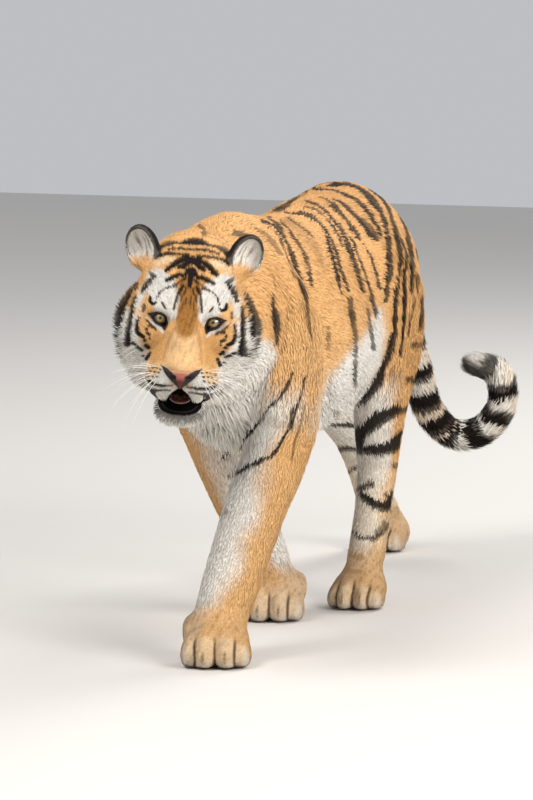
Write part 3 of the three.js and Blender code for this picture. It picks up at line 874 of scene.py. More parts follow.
def both_sides(rows):
    """The table and its mirror image across the middle of the head."""
    places = np.array([r[0] for r in rows], float)
    values = np.array([r[1:] for r in rows], float)
    return np.vstack([places, places * [-1, 1, 1]]), np.vstack([values, values])


hair_places, hair_values = both_sides(HEAD_HAIR)
print("places with known hair", len(hair_places))

# %% Ears
EAR_TURN = turned(*EAR_SPIN[0]) @ turned(*EAR_SPIN[1])


def ear_share(local):
    """How much a point of the head belongs to an ear, where in the ear it lies, and its side."""
    side = np.where(local[:, 0] < 0, -1.0, 1.0)
    flat = local * np.stack([side, np.ones(len(side)), np.ones(len(side))], axis=1)
    own = (flat - EAR_AT) @ EAR_TURN
    near = np.sqrt((own[:, 0] / 42) ** 2 + (own[:, 1] / 34) ** 2 + (own[:, 2] / 55) ** 2)
    share = ease(near, 1.15, 0.95) * ease(own[:, 2], -34, -12)
    return share, own, side


def ear_rim(own):
    """How far out in the ear a point lies: 0 in its middle, 1 at its rim."""
    return np.sqrt((own[:, 0] / EAR_RADII[0]) ** 2 + (own[:, 2] / EAR_RADII[2]) ** 2)


print("an ear points", EAR_TURN[:, 2].round(2))

# %% Slow waves
def waves(points, size, seed):
    """Slow smooth noise between about -1 and 1."""
    own = np.random.default_rng(seed)
    out = np.zeros(len(points))
    for _ in range(5):
        way = own.normal(size=3)
        way *= (0.6 + 0.9 * own.random()) / np.linalg.norm(way)
        out += np.sin(points @ way * (6.283 / size) + own.random() * 6.283)
    return out / 2.4


def unit(vectors):
    return vectors / np.maximum(np.linalg.norm(vectors, axis=1, keepdims=True), 1e-6)


def on_skin(way, normals, angle):
    """Ways laid flat onto the skin and swung round its normals by angles in radians."""
    way = unit(way - normals * np.sum(way * normals, axis=1, keepdims=True))
    return way * np.cos(angle)[:, None] + np.cross(normals, way) * np.sin(angle)[:, None]


print("a slow wave at the eyes", waves(EYES_AT[None], 100, 1).round(2))

# %% Hair of the head: away from the nose, and up the ears
EAR_HAIR, EAR_TUFT, EAR_SPACING = 5, 13, 2.0
TUFT_LIFT = 16


def head_growth(points):
    """Way, length, lift and spacing of the hair on the head."""
    local = part_to_head(points)
    ear, own, side = ear_share(local)
    from_nose = unit(local - [0, 112, -60]) + [0, 0, -0.12]
    way = from_nose @ HEAD_TURN.T
    tip = np.stack([side * EAR_TURN[0, 2], np.full(len(side), EAR_TURN[1, 2]),
                    np.full(len(side), EAR_TURN[2, 2])], axis=1)
    way = way * (1 - ear[:, None]) + (tip @ HEAD_TURN.T) * ear[:, None]
    hair = blended(local, hair_places, hair_values)
    inner_ear = ear * ease(own[:, 1], 2, 10) * ease(ear_rim(own), 0.9, 0.55)
    hair[:, 0] = hair[:, 0] * (1 - ear) + EAR_HAIR * ear + EAR_TUFT * inner_ear
    hair[:, 1] += TUFT_LIFT * inner_ear
    hair[:, 2] = hair[:, 2] * (1 - ear) + EAR_SPACING * ear
    return way, *hair.T


print("hair in the ears up to", EAR_HAIR + EAR_TUFT, "mm")

# %% Hair of trunk and neck: backwards and down
TRUNK_HAIR = {"back": 20, "flank": 25, "belly": 44, "chest": 42, "neck": 27}


def slant_and_front(points):
    """How far down the side a point lies, and how much it belongs to the chest's front."""
    _, y, z = points.T
    return ease(z, 900, 640), ease(y, -60, -160) * ease(z, 720, 620)


def trunk_growth(points, down):
    x, _, z = points.T
    slant, front = slant_and_front(points)
    way = np.stack([0 * x, np.ones(len(x)), -0.08 - 0.42 * slant], axis=1)
    long = TRUNK_HAIR["back"] + (TRUNK_HAIR["flank"] - TRUNK_HAIR["back"]) * slant
    long = long + (TRUNK_HAIR["belly"] - long) * ease(down, 0.15, 0.75) * ease(z, 560, 440)
    long = long + (TRUNK_HAIR["chest"] - long) * front
    return way, long, 7 + 11 * ease(down, 0.1, 0.8) + 9 * front, 3.65 + 0.9 * ease(down, 0.2, 0.8)


def neck_growth(points):
    x = points[:, 0]
    slant, front = slant_and_front(points)
    way = np.stack([-0.12 + 0 * x, 0.9 + 0 * x, -0.3 - 0.25 * slant], axis=1)
    long = TRUNK_HAIR["neck"] + (TRUNK_HAIR["chest"] - TRUNK_HAIR["neck"]) * front
    return way, long, 8 + 9 * front, 4.0


print("hair of the trunk", TRUNK_HAIR)

# %% Hair of legs and tail: along their lines
LEG_HAIR = {"outer": 14, "inner": 20, "thigh": 19, "paw": 7}


def leg_growth(name, points):
    z = points[:, 2]
    _, way, offset = on_line(points, LIMB_LINES[name])
    away = 1 if name.startswith("left") else -1
    inner = ease(offset[:, 0] * away / 50, 0.0, -0.7)
    behind = ease(offset[:, 1] / 50, 0.2, 0.9)
    long = LEG_HAIR["outer"] + (LEG_HAIR["inner"] - LEG_HAIR["outer"]) * np.maximum(inner, behind)
    long = long + (LEG_HAIR["thigh"] - long) * ease(z, 380, 520)
    paw = ease(z, 125, 80)
    long = long + (LEG_HAIR["paw"] - long) * paw
    return way, long, 7 + 6 * behind, 4.0 - 1.3 * paw


def tail_growth(points, down):
    way = on_line(points, LIMB_LINES["tail"])[1]
    return way, 24 + 4 * ease(down, 0.1, 0.8), 16 + 0 * down, 3.6


print("hair of the legs", LEG_HAIR)

# %% The coat anywhere on the animal
TWISTS = ((11, 210, 5), (6, 60, 6))  # degrees, size in millimetres and seed of each wave
DEPTH_LEAST, DEPTH_MOST = 0.5, 14


def coat_growth(points, normals):
    """The way the hair lies, its length, lift, spacing, and the depth of the coat."""
    part = shares(points)
    down = -normals[:, 2]
    grown = {"head": head_growth(points), "trunk": trunk_growth(points, down),
             "neck": neck_growth(points), **{name: leg_growth(name, points) for name in PAWS},
             "tail": tail_growth(points, down)}
    way = np.zeros_like(points)
    length, lift, spacing = np.zeros(len(points)), np.zeros(len(points)), np.zeros(len(points))
    for name, (ways, long, high, apart) in grown.items():
        way = way + part[name][:, None] * ways
        length += part[name] * long
        lift += part[name] * high
        spacing += part[name] * apart
    twist = np.radians(sum(turn * waves(points, size, seed) for turn, size, seed in TWISTS))
    way = on_skin(way, normals, twist)
    depth = length * np.sin(np.radians(lift)) * 0.9 + 0.6
    return way, length, np.radians(lift), spacing, np.clip(depth, DEPTH_LEAST, DEPTH_MOST)


way, length, lift, spacing, depth = coat_growth(skin_points, skin_normals)
print("hair length", length.min().round(1), "to", length.max().round(1), "mm")

# %% Skin laid inside the solids by the depth of the coat, but not in the mouth
SOLE_GAP = 2.0  # the soles' hair keeps this room over the floor

depth = depth * (1 - ease(bareness(part_to_head(skin_points))[2], 0.0, 2.5))
skin_points = skin_points - skin_normals * depth[:, None]
skin_points[:, 2] = np.maximum(skin_points[:, 2], SOLE_GAP)
print("coat depth", depth.min().round(1), "to", depth.max().round(1), "mm")

# %% [markdown]
# ## Colours of the coat
#
# The coat is orange on the back, paler on the flanks and white below, with dark stripes. They
# are painted in two stencils, as a drawing is thrown onto a wall: one for the body, seen from in
# front and a little to the left and mirrored for the far side, and one for the face, seen along
# the muzzle. Each mark is a stroke: how thick it is, how strong, and a path in millimetres. Skin
# and tufts ask the same function for their colour, so they always agree. The two numbers given
# to ease are where a colour starts and where it is full.

# %% Colours
ORANGE = np.array([0.7, 0.385, 0.152])
DEEP_ORANGE = np.array([0.5, 0.240, 0.070])
PALE_TAN = np.array([0.68, 0.43, 0.215])
PAW_TAN = np.array([0.56, 0.335, 0.15])
FACE_GOLD = np.array([0.52, 0.285, 0.105])
FOREHEAD = np.array([0.28, 0.12, 0.025])
CREAM = np.array([0.76, 0.62, 0.43])
WHITE = np.array([0.72, 0.69, 0.63])
FACE_WHITE = np.array([0.64, 0.61, 0.555])
GREY_WHITE = np.array([0.85, 0.8, 0.725])
DARK = np.array([0.014, 0.010, 0.008])
BROWN = np.array([0.12, 0.055, 0.022])
LIP_BLACK = np.array([0.016, 0.011, 0.010])


def mixed(below, colour, amount):
    """A colour laid over one or many others, by an amount for each point."""
    return below + (colour - below) * amount[:, None]


print("orange", ORANGE, "white", WHITE)

# %% Strokes of a stencil
def stroke(spots, thick, path, soft):
    """How much each spot of the stencil lies under a stroke, 0 to 1."""
    path = np.array(path, float)
    thick = np.interp(np.linspace(0, 1, len(path)), np.linspace(0, 1, len(np.atleast_1d(thick))),
                      np.atleast_1d(thick))
    reach = thick.max() / 2 + soft
    low, high = path.min(axis=0) - reach, path.max(axis=0) + reach
    near = np.flatnonzero(np.all((spots > low) & (spots < high), axis=1))
    out = np.zeros(len(spots))
    if not len(near):
        return out
    p = spots[near]
    best = np.zeros(len(near))
    if len(path) == 1:
        path, thick = np.vstack([path, path + 0.1]), np.append(thick, thick)
    for a, b, ta, tb in zip(path[:-1], path[1:], thick[:-1], thick[1:]):
        span = b - a
        t = np.clip((p - a) @ span / (span @ span), 0, 1)
        away = np.linalg.norm(p - a - t[:, None] * span, axis=1)
        best = np.maximum(best, ease(ta / 2 + (tb - ta) / 2 * t - away, -soft / 2, soft / 2))
    out[near] = best
    return out


def painted(spots, strokes, soft, swell=1.0, more=0.0):
    """The strongest of many strokes at each spot, each made thicker by a factor and a length."""
    ink = np.zeros(len(spots))
    for thick, strength, path in strokes:
        wide = np.atleast_1d(thick) * (swell if len(path) > 1 else (1 + swell) / 2) + more
        np.maximum(ink, strength ** 0.6 * stroke(spots, wide, path, soft), out=ink)
    return ink


print("ink under a dot", painted(np.zeros((1, 2)), [(4, 1, [(0, 0)])], 1.0))

# %% Body stencil
STENCIL_FROM = VIEW_DISTANCE / MM
STENCIL_UP = np.cross(TO_CAMERA, TO_RIGHT)
STENCIL_MIDDLE = (82, 500)  # width and height that the middle of the view gets


def body_stencil(points):
    """Width and height on the body's stencil."""
    q = points - VIEW_MIDDLE
    scale = STENCIL_FROM / (STENCIL_FROM - q @ TO_CAMERA)
    return np.stack([STENCIL_MIDDLE[0] + scale * (q @ TO_RIGHT),
                     STENCIL_MIDDLE[1] + scale * (q @ STENCIL_UP)], axis=1)


print("the eyes on the stencil", body_stencil(EYES_AT[None]).round())

# %% Marks of the body: stripes of the flank
FLANK = [
    # thickness, strength, path: from the spine down, front of the body first
    ((3, 4, 6, 6, 5, 4, 3), 0.95, [(67, 880), (94, 869), (113, 845), (125, 823), (135, 799), (145, 772),
        (152, 748), (161, 729), (163, 711), (166, 684), (170, 659), (176, 635)]),
    ((3, 5, 4), 0.85, [(79, 886), (97, 875), (110, 857), (117, 842)]),
    (2.5, 0.5, [(84, 866), (104, 845), (116, 820), (126, 793), (134, 772)]),
    ((4, 5, 6, 5), 0.7, [(108, 878), (122, 866), (137, 842), (152, 820), (160, 799), (166, 775),
        (170, 757), (172, 741)]),
    ((3, 5, 3), 0.55, [(126, 886), (149, 872), (166, 858), (176, 845)]),
    ((2, 3, 5, 6, 7, 7, 5), 0.9, [(122, 896), (152, 895), (173, 887), (192, 874), (204, 857),
        (216, 836), (224, 814), (231, 793), (239, 766), (245, 748), (248, 735)]),
    ((4, 7, 6, 3), 0.85, [(204, 842), (211, 820), (218, 799), (225, 775), (231, 748), (234, 732)]),
    (3, 0.6, [(160, 909), (180, 903), (201, 887), (219, 866), (234, 845), (240, 830)]),
    ((3, 4, 6, 7, 9, 8, 4), 0.9, [(161, 918), (186, 912), (207, 896), (222, 878), (234, 863),
        (246, 839), (256, 814), (263, 787), (269, 766), (278, 742), (281, 732)]),
    ((3, 4, 6, 6, 4), 0.85, [(190, 928), (210, 919), (228, 906), (243, 887), (256, 869), (268, 854),
        (277, 839)]),
    ((2, 3, 4, 5, 4), 0.75, [(231, 878), (246, 854), (262, 833), (271, 805), (283, 775), (290, 757),
        (297, 732), (304, 708), (309, 684)]),
    ((3, 5, 7, 8, 9, 6), 0.9, [(216, 930), (234, 921), (252, 906), (268, 890), (283, 872), (298, 851),
        (310, 842)]),
    ((5, 7, 5), 0.55, [(280, 884), (295, 869), (307, 854), (313, 845)]),
    ((2, 5, 6, 4), 0.85, [(283, 830), (298, 805), (306, 781), (313, 757), (318, 741)]),
    ((4, 6, 7, 8, 9, 7, 4), 0.95, [(164, 950), (192, 945), (222, 942), (246, 934), (265, 925),
        (280, 913), (295, 895), (307, 878), (315, 863), (318, 851)]),
    ((5, 7, 8, 10, 10, 9, 11, 12, 11, 6), 1, [(183, 963), (216, 960), (246, 957), (271, 950),
        (292, 934), (307, 919), (319, 903), (327, 881), (333, 857), (336, 833), (338, 805), (338, 781),
        (336, 757), (332, 732), (330, 711)]),
    ((4, 6, 8, 8, 7, 8, 9, 12, 15), 1, [(286, 962), (307, 945), (325, 930), (338, 906), (344, 881),
        (351, 860), (357, 836), (362, 811), (362, 787), (359, 763), (354, 735), (353, 708), (351, 678),
        (351, 647), (344, 615), (330, 578), (320, 550), (299, 525), (281, 504)]),
    ((4, 8, 9, 8, 7, 5), 0.95, [(325, 942), (344, 924), (359, 903), (368, 881), (376, 857), (380, 836),
        (385, 814), (389, 787), (389, 763), (388, 738)]),
    ((3, 5, 6, 9, 8, 6, 4), 0.9, [(362, 845), (371, 824), (376, 799), (374, 775), (373, 748),
        (373, 720), (373, 696), (371, 665), (370, 635), (366, 599)]),
    ((3, 5, 7, 7, 6, 4), 0.9, [(356, 918), (374, 900), (389, 872), (398, 842), (403, 811), (407, 787)]),
    ((5, 4), 0.7, [(400, 769), (400, 735)]),
    ((7, 6), 0.6, [(411, 726), (411, 696), (407, 660)]),
    (3, 0.5, [(395, 717), (386, 678), (383, 641)]),
    ((8, 13, 10, 7, 5), 0.6, [(251, 720), (257, 690), (262, 662), (266, 635), (266, 590), (265, 532)]),
    ((4, 5, 6, 8), 0.55, [(292, 702), (295, 672), (300, 644), (304, 616)]),
    ((5, 7, 3), 0.3, [(204, 660), (205, 640), (206, 610)]),
    ((4, 6, 14, 12, 10, 9, 12, 8, 5), 0.6, [(46, 903), (82, 906), (110, 904), (122, 912), (134, 924),
        (152, 936), (173, 951), (204, 963), (234, 971)]),
]
print("stripes of the flank", len(FLANK))

# %% Marks of the body: chest, hind leg and white patches
FRONT = [
    # chest, throat, shoulder and nape
    ((3, 5, 6, 6, 5), 0.95, [(135, 567), (128, 543), (114, 514), (89, 486), (61, 450), (33, 418),
        (8, 394), (-10, 384)]),
    ((2, 3, 5, 6, 7), 0.9, [(166, 567), (160, 543), (153, 514), (135, 447), (118, 418), (96, 390),
        (65, 369), (33, 355), (2, 343)]),
    ((7, 3), 0.7, [(139, 489), (133, 455)]),
    ((2, 4), 0.4, [(164, 502), (136, 381)]),
    (3, 0.5, [(-55, 440), (-11, 466)]),
    (4, 0.4, [(-11, 262), (10, 268)]),
    ((4, 9, 14, 12, 6), 0.85, [(90, 724), (90, 702), (96, 678), (99, 653), (96, 629)]),
    (3, 0.35, [(90, 770), (92, 742)]),
    ((5, 7, 8, 4), 0.35, [(49, 866), (70, 854), (91, 830), (107, 808)]),
    ((8, 13, 6), 0.6, [(8, 850), (24, 845), (46, 837)]),
    ((5, 9, 5), 0.5, [(-55, 870), (-52, 852), (-54, 836)]),
]
SMUDGES = [
    ((16, 18, 14, 8), 0.14, [(122, 881), (143, 869), (161, 854), (176, 830), (186, 811), (192, 793),
        (201, 772)]),
    ((5, 8), 0.4, [(213, 543), (206, 518)]),
    ((9, 6), 0.5, [(221, 482), (221, 436)]),
    ((6, 4), 0.45, [(206, 457), (203, 422)]),
    ((16, 14, 8), 0.5, [(352, 564), (348, 532), (334, 511), (313, 489)]),
    ((8, 5), 0.4, [(366, 564), (362, 518), (355, 482)]),
]
LEFT_HIND = [
    ((8, 14, 18), 1, [(345, 640), (338, 609), (319, 545), (286, 507)]),
    ((16, 21, 22, 18), 1, [(357, 482), (319, 460), (284, 438), (264, 400)]),
    ((16, 17, 12), 1, [(372, 430), (347, 398), (315, 394), (280, 404)]),
    ((6, 9), 0.9, [(270, 317), (306, 321)]),
    ((8, 16, 10), 1, [(286, 306), (311, 282), (335, 274), (354, 309)]),
    ((4, 8, 5), 0.85, [(266, 228), (286, 209), (311, 209), (338, 228)]),
    ((8, 5), 0.5, [(315, 221), (343, 238)]),
    (8, 0.6, [(272, 168), (284, 168)]),
    ((7, 8), 0.7, [(257, 138), (284, 135)]),
]
WHITE_BODY = [
    # broad soft patches of white: belly and flank, then chest
    ((60, 90, 90, 74, 40, 14), 1, [(190, 400), (216, 466), (250, 532), (288, 586), (310, 640),
        (316, 690)]),
    ((110, 120, 70), 1, [(300, 470), (275, 430), (240, 385)]),
    ((160, 150, 120, 80), 1, [(10, 560), (-20, 480), (0, 410), (30, 380)]),
    ((70, 60, 50), 1, [(62, 600), (30, 540), (10, 500)]),
    ((44, 46, 50), 1, [(100, 420), (66, 395), (30, 372)]),
]
print("other marks", len(FRONT + SMUDGES + LEFT_HIND), "and white patches", len(WHITE_BODY))

# %% Face stencil: half a face, from the middle line outwards, and up from the eyes
FACE = [
    # crown and forehead
    ((3, 4, 8, 9), 1, [(45, 145), (26, 147), (13, 151), (0, 152)]),
    ((4, 9, 11), 0.8, [(36, 147), (56, 143), (70, 137)]),
    ((3.5, 4, 4), 1, [(48, 131), (27, 136), (7, 136), (0, 135)]),
    ((8, 5, 4, 4), 1, [(70, 115), (55, 121), (36, 124), (8, 123)]),
    (13, 1, [(0, 114)]),
    ((6, 8, 8, 7), 1, [(10, 118), (26, 110), (38, 101), (50, 91)]),
    ((8, 8, 6), 1, [(7, 110), (15, 102), (25, 97)]),
    ((7, 8, 6), 1, [(21, 84), (33, 79), (47, 73)]),
    ((8, 7, 4), 1, [(2, 97), (8, 88), (17, 80)]),
    ((7, 6, 3), 1, [(0, 92), (0, 78), (1, 60)]),
    (4, 0.9, [(8, 77), (18, 70)]),
    (3.5, 0.7, [(22, 68), (32, 63)]),
    ((5, 5, 3), 0.95, [(13, 61), (17, 54), (21, 45)]),
    (2.5, 0.8, [(6, 58), (9, 46)]),
    (2, 0.7, [(12, 44), (15, 32)]),
    (2, 0.6, [(4, 40), (5, 27)]),
    (2, 0.6, [(20, 38), (22, 28)]),
    (1.8, 0.5, [(10, 30), (12, 18)]),
    ((3.4, 3), 0.9, [(21, 47), (25, 30), (27, 16)]),
    # inner edge of the ear
    ((7, 6, 5), 0.9, [(88, 147), (76, 131), (64, 121)]),
    # brow and temple
    (2.6, 1, [(24, 61), (35, 59), (46, 55), (57, 46), (62, 32)]),
    ((3, 5, 4), 1, [(62, 25), (68, 21), (74, 26), (74, 34)]),
    (2.8, 0.95, [(43, 17), (50, 26)]),
    ((5, 7, 7, 5), 1, [(72, 74), (79, 66), (87, 54), (93, 42)]),
    ((6, 5), 0.75, [(79, 82), (70, 78)]),
    (4, 0.8, [(84, 17), (86, 8)]),
    # cheeks
    ((6, 9, 13, 13, 11, 9, 6), 1, [(106, 57), (118, 36), (128, 12), (132, -12), (136, -36),
        (133, -62), (124, -82)]),
    ((4, 6, 7, 8, 10), 1, [(104, 30), (109, 8), (111, -18), (112, -40), (111, -58)]),
    ((4, 5, 6, 6, 5), 1, [(93, -6), (97, -18), (97, -30), (92, -40), (83, -44)]),
    (4.5, 0.95, [(100, -58), (90, -65), (82, -68)]),
    (5, 1, [(74, -22)]),
    (5.5, 1, [(78, -29)]),
    (4.5, 0.9, [(70, -40), (76, -36)]),
    (6, 1, [(79, -51)]),
    (4.5, 0.9, [(70, -47)]),
    (4, 0.8, [(62, -24), (68, -23)]),
    (5, 1, [(76, -60), (70, -64)]),
    ((4, 6), 1, [(66, -74), (72, -87)]),
    (4.5, 0.9, [(84, -69)]),
    (4.5, 0.9, [(79, -80)]),
    (9, 0.6, [(124, -96), (134, -84)]),
    (9, 0.4, [(108, -112), (120, -118)]),
    ((2, 3, 2.5), 0.9, [(80, -10), (70, -19.5), (60, -28)]),
    # whisker rows and lips
    (3.4, 1, [(0, -138), (0, -156)]),
    (3.6, 0.95, [(40, -104)]), (3.6, 0.95, [(48, -102)]), (3.6, 0.9, [(56, -103)]),
    (3.4, 0.9, [(64, -105)]), (4.2, 0.95, [(44, -112)]), (4.4, 0.95, [(52, -112)]),
    (4, 0.95, [(60, -112)]), (3.4, 0.85, [(68, -114)]), (4, 0.9, [(46, -121)]),
    (4, 0.9, [(55, -122)]), (3.4, 0.85, [(64, -122)]), (3.0, 0.8, [(38, -96)]),
    ((2, 4, 4, 3), 0.95, [(14, -134), (36, -138), (54, -135), (69, -124)]),
    ((2, 3, 3), 0.85, [(18, -144), (44, -147), (62, -142), (74, -133)]),
    # corner of the mouth and chin
    ((10, 16, 14, 8), 0.9, [(54, -150), (58, -164), (55, -178), (44, -188)]),
    ((7, 8, 9), 0.5, [(0, -197), (22, -196), (44, -189)]),
    ((5, 4), 0.4, [(58, -186), (70, -196)]),
]
print("marks of half a face", len(FACE))

# %% Ground colours of half a face
FACE_PATCHES = [
    # colour, thickness, strength, path, softness: painted in this order
    ("gold", (30, 56, 60), 0.9, [(110, 84), (114, 52), (120, 26)], 20),
    ("white", (40, 70, 80, 60), 0.95, [(116, -14), (118, -40), (114, -60), (96, -104)], 26),
    ("white", (50, 60, 40), 1, [(130, -60), (110, -120), (60, -170)], 30),
    ("white", 112, 1, [(0, -200), (40, -190)], 18),
    ("tan", (44, 52, 62, 66), 0.95, [(0, -26), (0, -44), (0, -74), (0, -100)], 8),
    ("gold", (70, 60, 50), 0.8, [(0, 110), (0, 90), (0, 66)], 20),
    ("forehead", (44, 48, 50, 40), 0.95, [(0, 64), (0, 40), (0, 10), (0, -20)], 16),
    ("brown", (5, 6, 5), 0.32, [(24, -24), (30, -52), (36, -84)], 6),
    ("white", (38, 56, 56, 40), 1, [(40, 8), (46, 34), (54, 56), (66, 74)], 9),
    ("white", (14, 18, 16, 12), 0.95, [(60, 78), (78, 62), (92, 40), (98, 14)], 10),
    ("cream", (8, 12, 8), 0.75, [(40, 113), (56, 110), (72, 101)], 12),
    ("gold", (26, 44, 40, 30), 0.95, [(74, -10), (76, -28), (70, -44), (58, -60)], 10),
    ("gold", (14, 22, 24), 0.85, [(44, -36), (50, -60), (54, -84)], 10),
    ("white", (2, 5, 7, 7, 4), 1, [(80, -3), (68, -14), (57, -21.5), (49, -27), (43, -34)], 4),
    ("white", (26, 40, 40), 1, [(26, -116), (44, -130), (56, -134)], 8),
    ("white", (12, 14), 1, [(38, -100), (26, -122)], 6),
    ("tan", (16, 22, 18), 0.8, [(46, -96), (54, -108), (60, -118)], 9),
    ("white", (14, 18), 0.9, [(0, -134), (14, -150)], 6),
]
NAMED = {"white": FACE_WHITE, "cream": CREAM, "tan": PALE_TAN, "gold": FACE_GOLD,
         "forehead": FOREHEAD, "brown": BROWN}


def face_colour(points, local):
    """Colours of the head."""
    spots = face_spots(local)
    spots = spots + np.stack([1.4 * waves(points, 70, 11), 1.2 * waves(points, 60, 12)], axis=1)
    low_side = ease(local[:, 2], 40, -60) * ease(np.abs(local[:, 0]), 60, 110)
    colours = mixed(ORANGE, FACE_WHITE, low_side * 0.9)
    colours = mixed(colours, FACE_WHITE, ease(spots[:, 1], -120, -150))
    colours = mixed(colours, WHITE, ease(local[:, 2], -110, -150))
    for colour, thick, strength, path, soft in FACE_PATCHES:
        colours = mixed(colours, NAMED[colour], strength * stroke(spots, thick, path, soft))
    middle = ease(spots[:, 0], 44, 14) * ease(spots[:, 1], -40, 0) * ease(spots[:, 1], 96, 60)
    bridge = ease(spots[:, 0], 34, 20) * ease(spots[:, 1], -108, -90) * ease(spots[:, 1], 0, -30)
    streaks = ease(waves(local * [1.0, 0.3, 0.3], 7, 13), 0.0, 0.8)
    colours = mixed(colours, BROWN, streaks * (0.5 * middle + 0.14 * bridge + 0.05))
    front = ease(local[:, 1], -190, -150)
    colours = mixed(colours, DARK, painted(spots, FACE, 1.6, 1.5) * front)
    eye, nose, mouth = bareness(local)
    colours = mixed(colours, LIP_BLACK, ease(np.maximum(eye, nose), -1.0, 1.0))
    # skin in and along the mouth is painted near black: the real black of the lips at its rim, and
    # painted shade in the mouth's hollow
    return mixed(colours, LIP_BLACK * 0.25, ease(mouth, 0.0, 2.0))


print("patches of half a face", len(FACE_PATCHES))

# %% Colours of the ears
def ear_colour(local, colours):
    """Grey-white inside the cup, dark rim, black back with a white spot."""
    share, own, _ = ear_share(local)
    across = ear_rim(own)
    cup = np.sqrt(sum(((own[:, i] - CUP_SHIFT[i]) / CUP_RADII[i]) ** 2 for i in range(3)))
    front = np.maximum(ease(cup, 1.24, 1.12), ease(own[:, 1], 4, 9))
    streaks = ease(waves(own * [1.0, 0.4, 0.2], 9, 51), 0.0, 0.8)
    # brown streaks of hair inside the ear, laid on stronger towards the middle of the cup as painted
    # shade in the ear's hollow
    inside = mixed(GREY_WHITE, BROWN, (0.12 + 0.55 * ease(across, 0.8, 0.3)) * streaks)
    inside = mixed(inside, DARK, 0.92 * ease(across, 0.8, 0.88) * ease(own[:, 2], -34, -20))
    inside = mixed(inside, PALE_TAN, 0.7 * ease(own[:, 2], -14, -34))
    spot = ease(np.sqrt((own[:, 0] / 15) ** 2 + ((own[:, 2] - 2) / 15) ** 2), 1.2, 0.8)
    back = mixed(DARK * 1.6, WHITE, spot)
    back = mixed(back, ORANGE, ease(own[:, 2], -14, -34))
    return mixed(colours, mixed(back, inside, front), share)


print("radii of an ear", EAR_RADII, "and of its cup", CUP_RADII)

# %% Colours of the trunk
SPINE_X = 20.0
BELLY_WHITE = ((-250, 470), (-60, 452), (120, 450), (300, 462), (480, 478), (620, 486), (760, 480),
               (1000, 470))
REAR = [
    # stripes across the buttocks: away from the tail, and height
    ((6, 9, 5), 0.9, [(18, 850), (60, 838), (110, 790)]),
    ((6, 10, 6), 0.9, [(30, 790), (80, 768), (128, 712)]),
    ((6, 10, 6), 0.9, [(40, 726), (90, 700), (140, 640)]),
    ((6, 11, 7), 0.9, [(48, 664), (96, 634), (146, 570)]),
    ((7, 11, 7), 0.9, [(52, 596), (100, 566), (150, 505)]),
    ((7, 12, 8), 0.9, [(60, 530), (104, 498), (150, 440)]),
]
CROWN = [
    # stripes behind the ears: away from the middle of the head, and along the head
    ((5, 9, 6), 0.85, [(6, -160), (34, -166), (66, -184)]),
    ((5, 9, 5), 0.85, [(4, -196), (36, -204), (74, -226)]),
    ((6, 10, 6), 0.8, [(6, -236), (40, -246), (84, -270)]),
    ((5, 8, 5), 0.75, [(20, -280), (56, -292), (90, -318)]),
]
BELLY_BARS = [((12, 8), 0.55, [(250, -60), (262, 60)]), ((9, 14), 0.6, [(345, -80), (330, 70)]),
              ((12, 10), 0.6, [(430, -70), (445, 80)]), ((10, 14), 0.6, [(530, -80), (520, 70)]),
              ((12, 8), 0.55, [(610, -70), (622, 70)])]


def stencil_spots(points, normals):
    """Where points lie on the body's stencil, and how well its light reaches them."""
    x, y, _ = points.T
    facing = normals @ TO_CAMERA
    spine = SPINE_X * ease(y, 700, 0)
    far_side = (facing < 0.1) & (x < spine)
    mirrored = points.copy()
    mirrored[far_side, 0] = (2 * spine - x)[far_side]
    turned_away = np.where(far_side, (normals * [-1, 1, 1]) @ TO_CAMERA, facing)
    ragged = np.stack([1.0 * waves(points, 90, 21) + 0.7 * waves(points, 30, 22),
                       3.0 * waves(points, 80, 23)], axis=1)
    return body_stencil(mirrored) + ragged, ease(turned_away, -0.01, 0.1)


def body_base(points, normals, part, spots, seen):
    """Ground colours of trunk, neck and upper legs, before the stripes."""
    _, y, z = points.T
    flesh = part["trunk"] + part["neck"]
    colours = mixed(ORANGE, DEEP_ORANGE, 0.2 * ease(normals[:, 2], 0.55, 0.95) * ease(y, -150, 50))
    colours = mixed(colours, PALE_TAN, 0.4 * ease(z, 760, 560) * (1 - ease(y, 600, 800)))
    colours = mixed(colours, DEEP_ORANGE, 0.25 * (0.5 + 0.5 * np.clip(waves(points, 260, 29), -1, 1)))
    edge = np.interp(y, *zip(*BELLY_WHITE))
    under = ease(z + 14 * waves(points, 150, 24), edge + 26, edge - 44) * flesh
    under = np.maximum(under, ease(-normals[:, 2], 0.35, 0.7) * flesh)
    colours = mixed(colours, WHITE, np.clip(under, 0, 1))
    patches = painted(spots, WHITE_BODY, 26)
    chest_only = np.clip(ease(y, 60, -60) + ease(spots[:, 0], 130, 170), 0, 1)
    arm = ease(part["left_front"], 0.3, 0.8) * ease(normals[:, 0], 0.2, 0.7)
    colours = mixed(colours, WHITE, patches * seen * chest_only * (1 - 0.65 * arm))
    return mixed(colours, BROWN, painted(spots, SMUDGES, 9.0) * seen)


